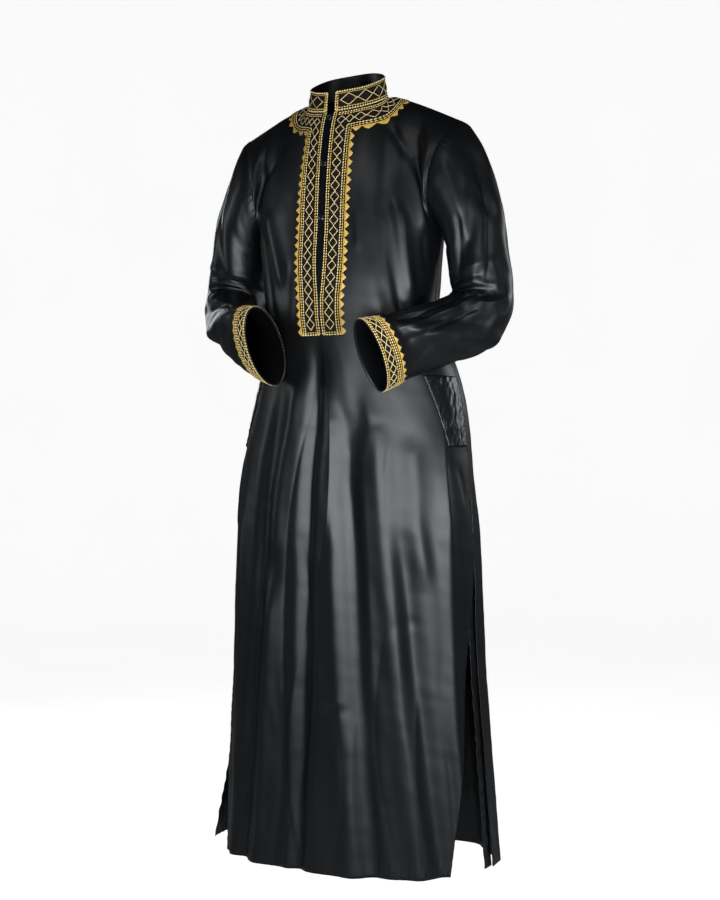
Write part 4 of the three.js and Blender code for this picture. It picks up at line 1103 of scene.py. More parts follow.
@dataclass
class Body:
    """The front and back panels of the garment, joined at the shoulders and the sides."""

    finishes: Finishes
    front_step: tuple[float, float] = (6.2, 2.5)
    back_step: tuple[float, float] = (6.4, 3.1)
    front_seed: int = 11
    back_seed: int = 23
    front: Panel = field(init=False)
    back: Panel = field(init=False)
    armholes: dict[str, Array] = field(init=False)
    middle: int = field(init=False)
    slit_row: int = field(init=False)

    def __post_init__(self) -> None:
        """Works out both panels."""
        heights = lower_heights()
        angles = front_angles(heights)
        last = angles.shape[1] - 1
        self.middle = (last - 1) // 2
        self.slit_row = YOKE_ROWS + int(np.argmax(heights <= SLIT_END))
        strip = neck_angle(STRIP_LINES)[::-1]
        rounding = mix(NECK_SIDE, strip[0], np.arange(NECK_COLUMNS) / NECK_COLUMNS)
        half = top_edge(SHOULDER_COLUMNS, np.concatenate([rounding, strip]))
        top = np.concatenate([half, half[::-1] * np.array([-1, 1, 1])])
        fixed = SHOULDER_COLUMNS + NECK_COLUMNS
        lower = section_point(heights[:, None], angles, False)
        front = np.concatenate([yoke_rows("front", lower[0], top, SHOULDER_COLUMNS, fixed, 4), lower])
        self.front = fine_panel(front, self._all_rows(angles), self.front_step,
                                (self.middle, self.middle + 1), (self.slit_row,), self.front_seed,
                                (fixed, last - fixed))
        angles = back_angles(heights)
        half = top_edge(BACK_SHOULDER, np.linspace(NECK_SIDE, 180, BACK_NECK // 2 + 1))
        top = np.concatenate([half * np.array([-1, 1, 1]), half[-2::-1]])
        lower = section_point(heights[:, None], angles)
        yoke = yoke_rows("back", lower[0], top, BACK_SHOULDER, BACK_SHOULDER + BACK_NECK, 0)
        back = np.concatenate([yoke, lower])
        vent_row = YOKE_ROWS + int(np.argmax(heights < VENT_TOP))
        self.back = fine_panel(back, self._all_rows(angles), self.back_step, (), (vent_row,),
                               self.back_seed, None)
        self.armholes = {"left": self._armhole(front, back), "right": self._armhole(back, front)}

    @staticmethod
    def _all_rows(angles: Array) -> Array:
        """The angles of the yoke's rows, which are the armpit's, and of those below."""
        return np.concatenate([np.repeat(angles[:1], YOKE_ROWS, 0), angles])

    @staticmethod
    def _armhole(first: Array, second: Array) -> Array:
        """An armhole's coarse points: from the armpit up one panel's edge and down the other's."""
        return np.concatenate([second[YOKE_ROWS:0:-1, -1], first[:YOKE_ROWS, 0]])

    def build(self) -> None:
        """Makes both panels' pieces."""
        keep = np.ones((len(self.front.down) - 1, len(self.front.across) - 1), bool)
        first, last = (round(self.front.column_of_knot(k)) for k in (self.middle, self.middle + 1))
        keep[:round(self.front.row_of_knot(self.slit_row)), first:last] = False
        for name, panel, cells, nodes in (("front_cloth", self.front, keep, FRONT_NODES),
                                          ("back_cloth", self.back, None, BACK_NODES)):
            builder = MeshBuilder()
            marks = cloth_marks(panel.across[None, :], panel.down[:, None])
            builder.shell(panel.surface, 0, -WALL, cells, marks)
            piece = dress(builder.build(name, [self.finishes.satin]), "satin", *nodes)
            width, length = float(panel.across[-1]) * 1.12 * MM, float(panel.down[-1]) * MM
            min(cloth_area(panel.surface), width * length)


def cloth_area(surface: Surface) -> float:
    """The area of a surface, in square metres."""
    p = surface.points
    if surface.wrap:
        p = np.concatenate([p, p[:, :1]], 1)
    one = np.cross(p[:-1, 1:] - p[:-1, :-1], p[1:, :-1] - p[:-1, :-1])
    two = np.cross(p[:-1, 1:] - p[1:, 1:], p[1:, :-1] - p[1:, 1:])
    return float(np.linalg.norm(one, axis=2).sum() + np.linalg.norm(two, axis=2).sum()) / 2 * MM * MM


# Sleeves

def path_tangents(centres: Array) -> Array:
    """The directions in which a smooth path passes through its points."""
    step = np.linalg.norm(np.diff(centres, axis=0), axis=1) ** 0.5
    knots = running(step)
    ahead = spline_weights(knots, np.clip(knots + 0.01, 0, knots[-1])) @ centres
    behind = spline_weights(knots, np.clip(knots - 0.01, 0, knots[-1])) @ centres
    return unit(ahead - behind)


@dataclass
class Sleeve:
    """A hollow sleeve with a bent elbow, from the armhole to the open cuff."""

    side: Side
    armhole: Array
    finishes: Finishes
    rows: int = 124
    columns: int = 160
    waves: tuple[tuple[float, float, float], ...] = ((60, 90, 0.5), (26, 60, 0.12))
    gathers: int = 46
    surface: Surface = field(init=False)
    across: Array = field(init=False)
    down: Array = field(init=False)

    def __post_init__(self) -> None:
        """Works out the sleeve's surface."""
        coarse = self._coarse()
        count = len(self.armhole)
        steps = np.linalg.norm(np.diff(coarse, axis=0), axis=2).mean(1)
        row_knots = running(steps)
        around = np.linalg.norm(np.roll(coarse, -1, 1) - coarse, axis=2).mean(0)
        column_knots = running(around)
        girth = column_knots[-1]
        self.down = np.linspace(0, row_knots[-1], self.rows)
        self.across = np.linspace(0, girth, self.columns + 1)[:-1]
        weights_down = spline_weights(row_knots, self.down)
        weights_across = spline_weights(column_knots[:-1], self.across, girth)
        points = np.einsum("nr,rck,mc->nmk", weights_down, coarse, weights_across)
        across, down = self.across[None, :], self.down[:, None]
        ring = index_at(row_knots, down) - len(CAP_STEPS)
        angle = np.interp(across, column_knots, np.linspace(0, 360, count + 1))
        lift = self._lift(SLEEVE_MAIN[self.side.word], ring, angle) * smooth(ring, -5, -3)
        lift += self._lift(SLEEVE_FINE[self.side.word], ring, angle) * smooth(ring, -5, -4)
        lift *= 1 - smooth(ring, 5.5, 6.5)
        # The ripples fade out towards the seam on the lower side, where the cloth's edges meet
        waves = ripples(across, down, 31 + self.side.value, self.waves)
        seam = np.minimum(across, girth - across)
        lift += waves * smooth(ring, -4.6, -3.4) * (1 - smooth(ring, 5.8, 6.6)) * smooth(seam, 0, 16)
        gather = np.sin(TURN * across / girth * self.gathers + np.sin(angle / 23))
        lift += 0.45 * gather * np.exp(-down / 9.0)
        self.surface = Surface(points, wrap=True).lifted(lift)

    def _coarse(self) -> Array:
        """The coarse rows: from the armhole over the cap, then the rings along the sleeve's path."""
        rings = SLEEVE_RINGS[self.side.word].astype(float)
        sign = self.side.value
        outward, forward, along = Vector((sign, 0, 0)), Vector((0, -1, 0)), Vector((0, 0, -1))
        count = len(self.armhole)
        a = 2 * np.pi * np.arange(count) / count
        rows = []
        for ring, tangent in zip(rings, path_tangents(rings[:, :3])):
            turn = along.rotation_difference(Vector(tangent))
            outward, forward, along = turn @ outward, turn @ forward, Vector(tangent)
            deep = -sign * np.sin(a) * ring[4]
            rows.append(ring[:3] - np.cos(a)[:, None] * ring[3] * np.array(outward)
                        + deep[:, None] * np.array(forward) + (ring[5] * deep)[:, None] * np.array(along))
        top = ((1 - np.cos(a)) / 2)[:, None]
        leave = np.concatenate([sign * mix(36, SHOULDER_ROUND[self.side.word], top),
                                sign * np.sin(a)[:, None] * 24, mix(-14, -26, top)], 1)
        reach = np.concatenate([np.zeros((count, 2)), mix(-40, -190, top)], 1)
        cap = [hermite(self.armhole, rows[0], leave, reach, t) for t in CAP_STEPS]
        return np.stack([*cap, *rows])

    @staticmethod
    def _lift(sleeve_folds: Sequence[SleeveFold], ring: Array, angle: Array) -> Array:
        """How far folds lift the sleeve, by the distance from each one's line on the unrolled cloth."""
        ring_step, round_step = 34.0, 1.05  # millimetres for a ring and for a degree
        lift = np.zeros(np.broadcast(ring, angle).shape)
        for fold in sleeve_folds:
            line = np.array([(fold.r1 - fold.r0) * ring_step, (fold.a1 - fold.a0) * round_step])
            u, v = (ring - fold.r0) * ring_step, (angle - fold.a0) * round_step
            for turn in (-360, 0, 360):
                w = v + turn * round_step
                t = np.clip((u * line[0] + w * line[1]) / (line @ line), 0, 1)
                away = np.hypot(u - t * line[0], w - t * line[1]) / fold.width
                lift += fold.height * ridge_shape(away, fold.crisp)
        return lift

    def build(self) -> None:
        """Makes the sleeve's piece, with its top edge tucked into the armhole."""
        points = self.surface.points
        tucked = points[:1] - self.surface.normals[:1] * 1.5 + unit(points[:1] - points[3:4]) * 3
        whole = Surface(np.concatenate([tucked, points]), wrap=True)
        builder = MeshBuilder()
        marks = cloth_marks(self.across[None, :], np.concatenate([[-3], self.down])[:, None])
        builder.shell(whole, 0, -WALL, None, marks)
        word = self.side.word
        piece = dress(builder.build(f"sleeve_{word}_cloth", [self.finishes.satin]), "satin",
                      *(f"sleeve_{word}_{stretch}" for stretch in ("upper", "elbow", "fore")))
        width, length = float(self.across[-1]) * 1.15 * MM, float(self.down[-1]) * 1.1 * MM
        min(cloth_area(whole), width * length)


# Embroidery

class Stitch(Enum):
    """The kinds of line that run along a band."""

    CREAM_BRAID = "a row of slanted padded stitches in cream"
    GOLD_BRAID = "a row of slanted padded stitches in gold"
    GOLD_CORD = "one smooth laid cord in gold"


CREAM, GOLD, CORD = Stitch


@dataclass(frozen=True)
class Line:
    """One line along a band: its distance from the band's first edge, its stitch and its half width."""

    place: float
    stitch: Stitch
    half: float = 1.1


@dataclass(frozen=True)
class Pattern:
    """What is stitched along a band.

    Attributes:
        lines: The braids and cords.
        chain: Place and half width of the lozenge chain, and the length of one lozenge.
        teeth: Place, height and length of the teeth, or None.
    """

    lines: tuple[Line, ...]
    chain: tuple[float, float, float]
    teeth: tuple[float, float, float] | None = None


STRIP_PATTERN = Pattern(
    lines=(Line(1.8, CREAM), Line(5.7, GOLD), Line(28.4, CREAM), Line(32.5, GOLD), Line(36.2, CORD, 0.7)),
    chain=(16.9, 7.3, 19.5), teeth=(37.2, 6.8, 14.6))
NECK_PATTERN = Pattern(
    lines=(Line(2.0, CREAM), Line(5.9, GOLD), Line(29.2, CREAM), Line(33.4, GOLD), Line(37.2, CORD, 0.7)),
    chain=(17.4, 7.4, 20.0), teeth=(38.2, 6.8, 15.0))
COLLAR_PATTERN = Pattern(
    lines=(Line(2.6, CREAM, 1.5), Line(6.0, CORD, 0.5), Line(29.2, GOLD), Line(33.2, CREAM, 1.4)),
    chain=(17.4, 9.2, 30.0))
CUFF_PATTERN = Pattern(
    lines=(Line(1.9, CREAM), Line(5.8, GOLD), Line(24.6, GOLD), Line(28.8, CREAM), Line(33.0, GOLD),
           Line(36.4, CORD, 0.7)),
    chain=(15.0, 6.6, 17.0), teeth=(37.2, 6.6, 14.0))


def zigzag(t: Array) -> Array:
    """How far a lozenge's side lies off the middle line: two sides cross a little before each end."""
    overlap = 0.06
    return np.clip((1 + 2 * overlap) * (1 - 2 * np.abs(t % 1 - 0.5)) - overlap, -overlap, 1)


@dataclass(frozen=True)
class Crossing:
    """Where a strip's top carries another band's rows, the outer ones turning a corner into its own."""

    pattern: Pattern
    own: Pattern
    start: float

    def _outer(self, pattern: Pattern) -> list[float]:
        """The places of a pattern's lines beyond its lozenges."""
        return [line.place for line in pattern.lines if line.place > pattern.chain[0]]

    def corner(self, place: float) -> float:
        """How far down the strip one of its own outer lines begins."""
        return self.start + self._outer(self.pattern)[self._outer(self.own).index(place)]

    def partner(self, place: float) -> float:
        """How far across the strip an outer line of the crossing band turns."""
        return self._outer(self.own)[self._outer(self.pattern).index(place)]

    @property
    def end(self) -> float:
        """Where the strip's own lozenges begin."""
        return self.start + self.pattern.chain[0] + self.pattern.chain[1] + 1.5

    @property
    def teeth(self) -> float:
        """Where the crossing band's teeth end."""
        return self.pattern.teeth[0] + self.pattern.teeth[1]


@dataclass
class Band:
    """An embroidered band: its ground cloth and its cream and gold threads.

    Attributes:
        name: The node that the band replaces.
        surface: The ground's grid, its rows along the band's width and its columns along its length.
        length: The band's length.
        width: The width that the grid covers.
        pattern: What is stitched on it.
        ends: Whether braids close the pattern at the start and at the end.
        wall: The ground's thickness.
        crossing: The band whose rows cross this one's start, if one does.
        inset: How far the braid at an end lies from it.
        gap: From the braid at an end to the lozenges.
        chain_thread: Half width and half height of the lozenges' thread.
    """

    name: str
    surface: Surface
    length: float
    width: float
    pattern: Pattern
    finishes: Finishes
    ends: tuple[bool, bool] = (True, True)
    wall: float = 0.9
    crossing: Crossing | None = None
    inset: float = 2.4
    gap: float = 8.0
    chain_thread: tuple[float, float] = (0.68, 0.5)

    def at(self, along: Any, across: Any, out: Any = 0.0) -> tuple[Array, Array]:
        """Points and normals at distances along and across the band."""
        rows, columns = self.surface.points.shape[:2]
        last = columns if self.surface.wrap else columns - 1
        return self.surface.at(np.asarray(across) / self.width * (rows - 1),
                               np.asarray(along) / self.length * last, out)

    def _facing(self, faces: Array) -> Array:
        """Faces turned to the side that the band's surface faces."""
        return faces if self.surface.outward > 0 else faces[:, ::-1]

    def _cord(self, builder: MeshBuilder, along: Array, across: Array, half: float, closed: bool) -> None:
        """Lays one smooth cord."""
        points, normals = self.at(along, across, self.wall + 0.4 * half)
        builder.tube(points, normals, half, half * 0.75, 6, closed)

    def _braid(self, builder: MeshBuilder, along: Array, across: Array, half: float) -> None:
        """Lays a row of padded stitches, each slanted across the line."""
        length = running(np.hypot(np.diff(along), np.diff(across)))
        count = max(round(length[-1] / BEAD_PITCH), 1)
        places = (np.arange(count) + 0.5) * length[-1] / count
        u, v = np.interp(places, length, along), np.interp(places, length, across)
        du = np.interp(places + 0.1, length, along) - np.interp(places - 0.1, length, along)
        dv = np.interp(places + 0.1, length, across) - np.interp(places - 0.1, length, across)
        size = np.hypot(du, dv)
        du, dv = (du / size)[:, None, None], (dv / size)[:, None, None]
        side = 5
        b, a = np.meshgrid(np.linspace(-1, 1, side), np.linspace(-1, 1, side), indexing="ij")
        x, y = a * np.sqrt(1 - b ** 2 / 2), b * np.sqrt(1 - a ** 2 / 2)
        rise = 1.15 * half * np.sqrt(np.clip(1 - x ** 2 - y ** 2, 0, 1)) - 0.05
        lengthwise, sideways = 0.42 * BEAD_PITCH * x + 0.35 * half * y, half * y - 0.3 * half * x
        points, _ = self.at(u[:, None, None] + du * lengthwise - dv * sideways,
                            v[:, None, None] + dv * lengthwise + du * sideways, self.wall + rise[None])
        faces = grid_faces(side, side)[None] + side * side * np.arange(count)[:, None, None]
        builder.add(points, self._facing(faces.reshape(-1, 4)))

    def _lay(self, threads: tuple[MeshBuilder, MeshBuilder], line: Line, along: Array, across: Array,
             closed: bool = False) -> None:
        """Lays a braid or a cord with the cream or the gold thread."""
        builder = threads[0] if line.stitch is CREAM else threads[1]
        if line.stitch is CORD:
            self._cord(builder, along, across, line.half, closed)
        else:
            self._braid(builder, along, across, line.half)

    def _line(self, threads: tuple[MeshBuilder, MeshBuilder], line: Line, start: float, end: float,
              closed: bool) -> None:
        """Lays one line along the band."""
        count = max(int((end - start) / 2), 2)
        along = np.linspace(start, end, count, endpoint=not closed)
        if closed and line.stitch is not CORD:
            along = np.append(along, end)
        self._lay(threads, line, along, np.full(len(along), line.place), closed)

    def _chain(self, builder: MeshBuilder, start: float, end: float, closed: bool) -> None:
        """Stitches the lozenge chain as two zigzag lines that cross between the lozenges."""
        middle, half, pitch = self.pattern.chain
        count = max(round((end - start) / pitch), 1)
        t = np.linspace(0, count, count * 12 + (0 if closed else 1), endpoint=not closed)
        for sign in (1, -1):
            over = 0.45 + 0.25 * sign * np.cos(2 * np.pi * t)
            points, normals = self.at(mix(start, end, t / count), middle + sign * half * zigzag(t),
                                      self.wall + over)
            builder.tube(points, normals, *self.chain_thread, 6, closed)

    def _teeth(self, builder: MeshBuilder, start: float, end: float) -> None:
        """Fills each tooth with satin stitches, as a low ribbed dome on its own rim."""
        place, height, pitch = self.pattern.teeth
        count = max(round((end - start) / pitch), 1)
        rows, columns = 5, 13
        v, u = np.meshgrid(np.linspace(0, 1, rows), np.linspace(-1, 1, columns), indexing="ij")
        spread = (end - start) / count / 2 * 0.93
        inward = np.clip(1 - np.abs(u), 0, 1)
        across = place + height * inward ** 0.9 * v
        dome = 0.25 + 0.55 * np.sin(np.pi * np.clip(0.15 + 0.85 * v, 0, 1)) * inward ** 0.5
        ribs = 0.10 * np.cos(u * columns * math.pi / 2)
        rim = np.concatenate([np.arange(columns), np.arange(1, rows) * columns + columns - 1,
                              (rows - 1) * columns + np.arange(columns - 2, -1, -1),
                              np.arange(rows - 2, 0, -1) * columns])
        m = np.arange(len(rim))
        after = (m + 1) % len(rim)
        wall = self._facing(np.stack([m, after, after + len(rim), m + len(rim)], -1))
        for k in range(count):
            along = mix(start, end, (k + 0.5) / count) + u * spread
            points, _ = self.at(along, across, self.wall * 0.8 + dome + ribs)
            low, _ = self.at(along, across, -0.1)
            marks = np.stack([across, np.ones_like(across), along], -1)
            builder.add(points, self._facing(grid_faces(rows, columns)), marks)
            builder.add(np.concatenate([points.reshape(-1, 3)[rim], low.reshape(-1, 3)[rim]]), wall)

    def _cross(self, threads: tuple[MeshBuilder, MeshBuilder]) -> None:
        """Carries the neck band's rows over the top of a strip, to its slit or round the corner."""
        crossing, edge = self.crossing, self.pattern.teeth[0] + 1.4
        for line in crossing.pattern.lines:
            outer = line.place > crossing.pattern.chain[0]
            across = np.linspace(crossing.partner(line.place) if outer else 9.0, edge, 12)
            self._lay(threads, line, np.full(12, crossing.start + line.place), across)
        middle, half, _ = crossing.pattern.chain
        t = np.linspace(0, 2, 25)
        for sign in (1, -1):
            points, normals = self.at(crossing.start + middle + sign * (half * zigzag(t)),
                                      mix(9.5, edge, t / 2), self.wall + 0.5)
            threads[0].tube(points, normals, *self.chain_thread, 6)

    def _ground(self, width: float, lining: bpy.types.Material | None) -> tuple[bpy.types.Object, float]:
        """Makes the ground cloth, up to a width, and gives its piece and area."""
        rows, columns = self.surface.points.shape[:2]
        used = max(int(math.ceil(width / self.width * (rows - 1))) + 1, 2)
        ground = Surface(self.surface.points[:used], self.surface.wrap, self.surface.outward)
        ground.normals = self.surface.normals[:used]
        marks = cloth_marks(np.linspace(0, self.length, columns)[None, :],
                            np.linspace(0, self.width, rows)[:used, None])
        builder = MeshBuilder()
        builder.shell(ground, self.wall, 0.0, None, marks, 1 if lining else 0)
        piece = builder.build(f"{self.name}_ground", [self.finishes.ground, *([lining] if lining else [])])
        return dress(piece, "embroidery", self.name), cloth_area(ground)

    def build(self, lining: bpy.types.Material | None = None) -> None:
        """Makes the ground and the threads.

        Args:
            lining: The inner face's material, where it isn't the ground's.
        """
        closed, teeth, crossing = self.surface.wrap, self.pattern.teeth, self.crossing
        ground_width = self.width if teeth is None else teeth[0] + 1.0
        piece, area = self._ground(ground_width, lining)
        threads = cream, gold = MeshBuilder(), MeshBuilder()
        start = self.inset if self.ends[0] else 0.0
        end = self.length - (self.inset if self.ends[1] else 0.0)
        for line in self.pattern.lines:
            turns = crossing and line.place > self.pattern.chain[0]
            self._line(threads, line, crossing.corner(line.place) if turns else start, end, closed)
        if crossing:
            self._cross(threads)
        places = [line.place for line in self.pattern.lines]
        across = np.linspace(min(places), max(places), 16)
        for at_end, edge, turned in ((self.ends[0], start, 1), (self.ends[1], end, -1)):
            if at_end:
                self._braid(cream, np.full(16, edge), across, 1.35)
                self._braid(gold, np.full(16, edge + turned * 3.6), across, 1.1)
        first = crossing.end if crossing else start + (self.gap if self.ends[0] else 0)
        self._chain(cream, first, end - (self.gap if self.ends[1] else 0), closed)
        if teeth:
            tip = crossing.start + crossing.teeth if crossing else 0.0
            self._teeth(gold, tip, end + 2 if self.ends[1] else self.length)
        pieces = [dress(cream.build(f"{self.name}_cream", [self.finishes.cream]), "embroidery"),
                  dress(gold.build(f"{self.name}_gold", [self.finishes.gold]), "embroidery")]
        length, width = self.length * 1.12 * MM, ground_width * 1.05 * MM
        min(area, width * length)


def strip_band(body: Body, side: Side, finishes: Finishes) -> Band:
    """The strip beside the slit, from the neck's seam to its end on the belly."""
    panel = body.front
    middle = panel.column_of_knot(body.middle if side is Side.LEFT else body.middle + 1)
    line = panel.surface.lengths(0, round(middle))
    length = float(value_at(line, panel.row_of_knot(YOKE_ROWS + CHEST_ROWS)))
    width = STRIP + TOOTH + 1
    across = np.linspace(0, width, 24)
    reach = np.arange(0, 30)
    grid = []
    for row in index_at(line, np.linspace(0, length, int(length / 3))):
        points, _ = panel.surface.at(row, middle - side.value * reach)
        far = path_lengths(points)
        columns = middle - side.value * np.interp(across, far, reach)
        grid.append(panel.surface.at(row, columns, LIFT_OFF)[0])
    # Rows run across the strip from the slit, and columns run down it
    return Band(f"placket_{side.word}", Surface(np.stack(grid, 1), outward=side.value), length, width,
                STRIP_PATTERN, finishes, (False, True),
                crossing=Crossing(NECK_PATTERN, STRIP_PATTERN, NECK_START))


def facing_out(surface: Surface, centre: Array) -> Surface:
    """The same surface, facing away from a point."""
    out = ((surface.points - centre) * surface.normals).sum(-1).mean()
    return surface if out > 0 else Surface(surface.points, surface.wrap, -surface.outward)


def collar_band(finishes: Finishes) -> Band:
    """The stand collar, round from one side of the slit to the other, its top edge first."""
    first = float(neck_angle(SLIT))
    angles = np.linspace(first, 360 - first, 150)
    rows = []
    for t in np.linspace(0, 1, 19):
        p = neck_point(angles)
        size = 1 - COLLAR_LEAN * (1 - t) / NECK_HALF + 0.7 * math.sin(math.pi * t) / NECK_HALF
        sway = 0.5 * np.sin(np.radians(angles) * 5) * (1 - t)
        rise = (COLLAR_HEIGHT + 1.7) * (1 - t) + sway
        rows.append(np.stack([p[:, 0] * size, NECK_BACK + (p[:, 1] - NECK_BACK) * size,
                              p[:, 2] - 0.8 + rise], -1))
    surface = facing_out(Surface(np.stack(rows)), np.array([0, NECK_BACK, 10]))
    length = float(surface.lengths(1, 9)[-1])
    return Band("stand_collar", surface, length, COLLAR_HEIGHT, COLLAR_PATTERN, finishes, (True, True), 1.0)


def neck_tree(body: Body) -> BVHTree:
    """Both panels' yokes, for finding the nearest place on them."""
    points, faces, count = [], [], 0
    for panel in (body.front, body.back):
        grid = panel.surface.points[:round(panel.row_of_knot(YOKE_ROWS + 1))]
        faces.append(grid_faces(*grid.shape[:2]) + count)
        points.append(grid.reshape(-1, 3))
        count += len(points[-1])
    return BVHTree.FromPolygons(np.concatenate(points).tolist(), np.concatenate(faces).tolist())


def walk(tree: BVHTree, angle: float, share: float, distances: Array) -> list[Array]:
    """Walks out from the neck's seam over the cloth.

    Args:
        tree: The cloth.
        angle: Where on the seam the walk starts, in degrees from the front.
        share: How far the walk leaves the seam squarely, from 0 for straight down the front to 1.
        distances: How far along the walk the wanted points lie.

    Returns:
        The points.
    """
    a = math.radians(angle)
    square = Vector((NECK_DEEP * math.sin(a), -NECK_HALF * math.cos(a), 0)).normalized()
    heading = (Vector((0, -0.5, -1)) * (1 - share) + square * share).normalized()
    spot, normal, _, _ = tree.find_nearest(Vector(neck_point(angle)))
    gone, places = 0.0, []
    for distance in distances:
        while gone < distance - 1e-6:
            now = min(1.25, distance - gone)
            heading = (heading - normal * heading.dot(normal)).normalized()
            spot, fresh, _, _ = tree.find_nearest(spot + heading * now)
            normal = (normal * 2 + fresh).normalized()
            gone += now
        places.append(np.array(spot))
    return places


def neck_band(body: Body, strips: dict[Side, Band], finishes: Finishes) -> Band:
    """The band round the neck, walked out from its seam over both panels and joined to the strips' edges."""
    tree = neck_tree(body)
    first = float(neck_angle(SLIT + STRIP + 0.5))
    angles = np.linspace(first, 360 - first, 168)
    distances = np.linspace(NECK_START, BAND + TOOTH + 2, 24)
    shares = [float(smooth(min(n, len(angles) - 1 - n) / 16, 0, 1)) for n in range(len(angles))]
    grid = np.array([walk(tree, *start, distances) for start in zip(angles, shares)]).transpose(1, 0, 2)
    for _ in range(6):
        grid[1:, 1:-1] = mix(grid[1:, 1:-1], (grid[1:, 2:] + grid[1:, :-2]) / 2, 0.5)
        grid[1:-1] = mix(grid[1:-1], (grid[2:] + grid[:-2]) / 2, 0.35)
    blend = (1 - np.arange(14) / 14) ** 2
    for side, columns in ((Side.LEFT, np.arange(14)), (Side.RIGHT, -1 - np.arange(14))):
        edge, _ = strips[side].at(distances, np.full(len(distances), STRIP_PATTERN.teeth[0] + 1.0))
        grid[:, columns] += (edge - grid[:, columns[0]])[:, None] * blend[None, :, None]
    surface = facing_out(Surface(grid), np.array([0, NECK_BACK, -90]))
    # The eased grid rises clear of the panels again
    for _ in range(3):
        lift = np.zeros(grid.shape[:2])
        for place in np.ndindex(lift.shape):
            point, normal = Vector(surface.points[place]), Vector(surface.normals[place])
            lift[place] = max(0.45 - (point - tree.find_nearest(point)[0]).dot(normal), 0)
        surface = surface.lifted(lift)
    length = float(surface.lengths(1, 10)[-1])
    return Band("neck_band", surface, length, float(distances[-1] - distances[0]), NECK_PATTERN, finishes,
                (False, False))


def cuff_band(sleeve: Sleeve, finishes: Finishes) -> Band:
    """A cuff's band, from the sleeve's open end towards the elbow."""
    width = BAND + TOOTH + 1
    surface = sleeve.surface
    columns = surface.points.shape[1]
    across = np.linspace(0, width, 24)
    grid = np.zeros((len(across), columns, 3))
    for i in range(columns):
        line = surface.lengths(0, i)
        grid[:, i] = surface.at(index_at(line, line[-1] - across), np.full(len(across), i), LIFT_OFF)[0]
    around = facing_out(Surface(grid, wrap=True), grid.mean((0, 1)))
    closed = np.concatenate([around.points, around.points[:, :1]], 1)
    length = float(np.linalg.norm(np.diff(closed[12], axis=0), axis=1).sum())
    return Band(f"cuff_band_{sleeve.side.word}", around, length, width, CUFF_PATTERN, finishes,
                (False, False))


# Facings, fly and buttons

# A button's profile: distance from its axis, height off the fly
BUTTON_PROFILE = np.array([
    [0, -0.3], [2.2, -0.3], [2.4, 0.5], [4.6, 0.9], [5.2, 1.5], [5.35, 2.2], [5.1, 2.8], [4.5, 3.1],
    [3.9, 3.15], [3.3, 3.5], [2.2, 3.9], [1.1, 4.1], [0, 4.15],
])


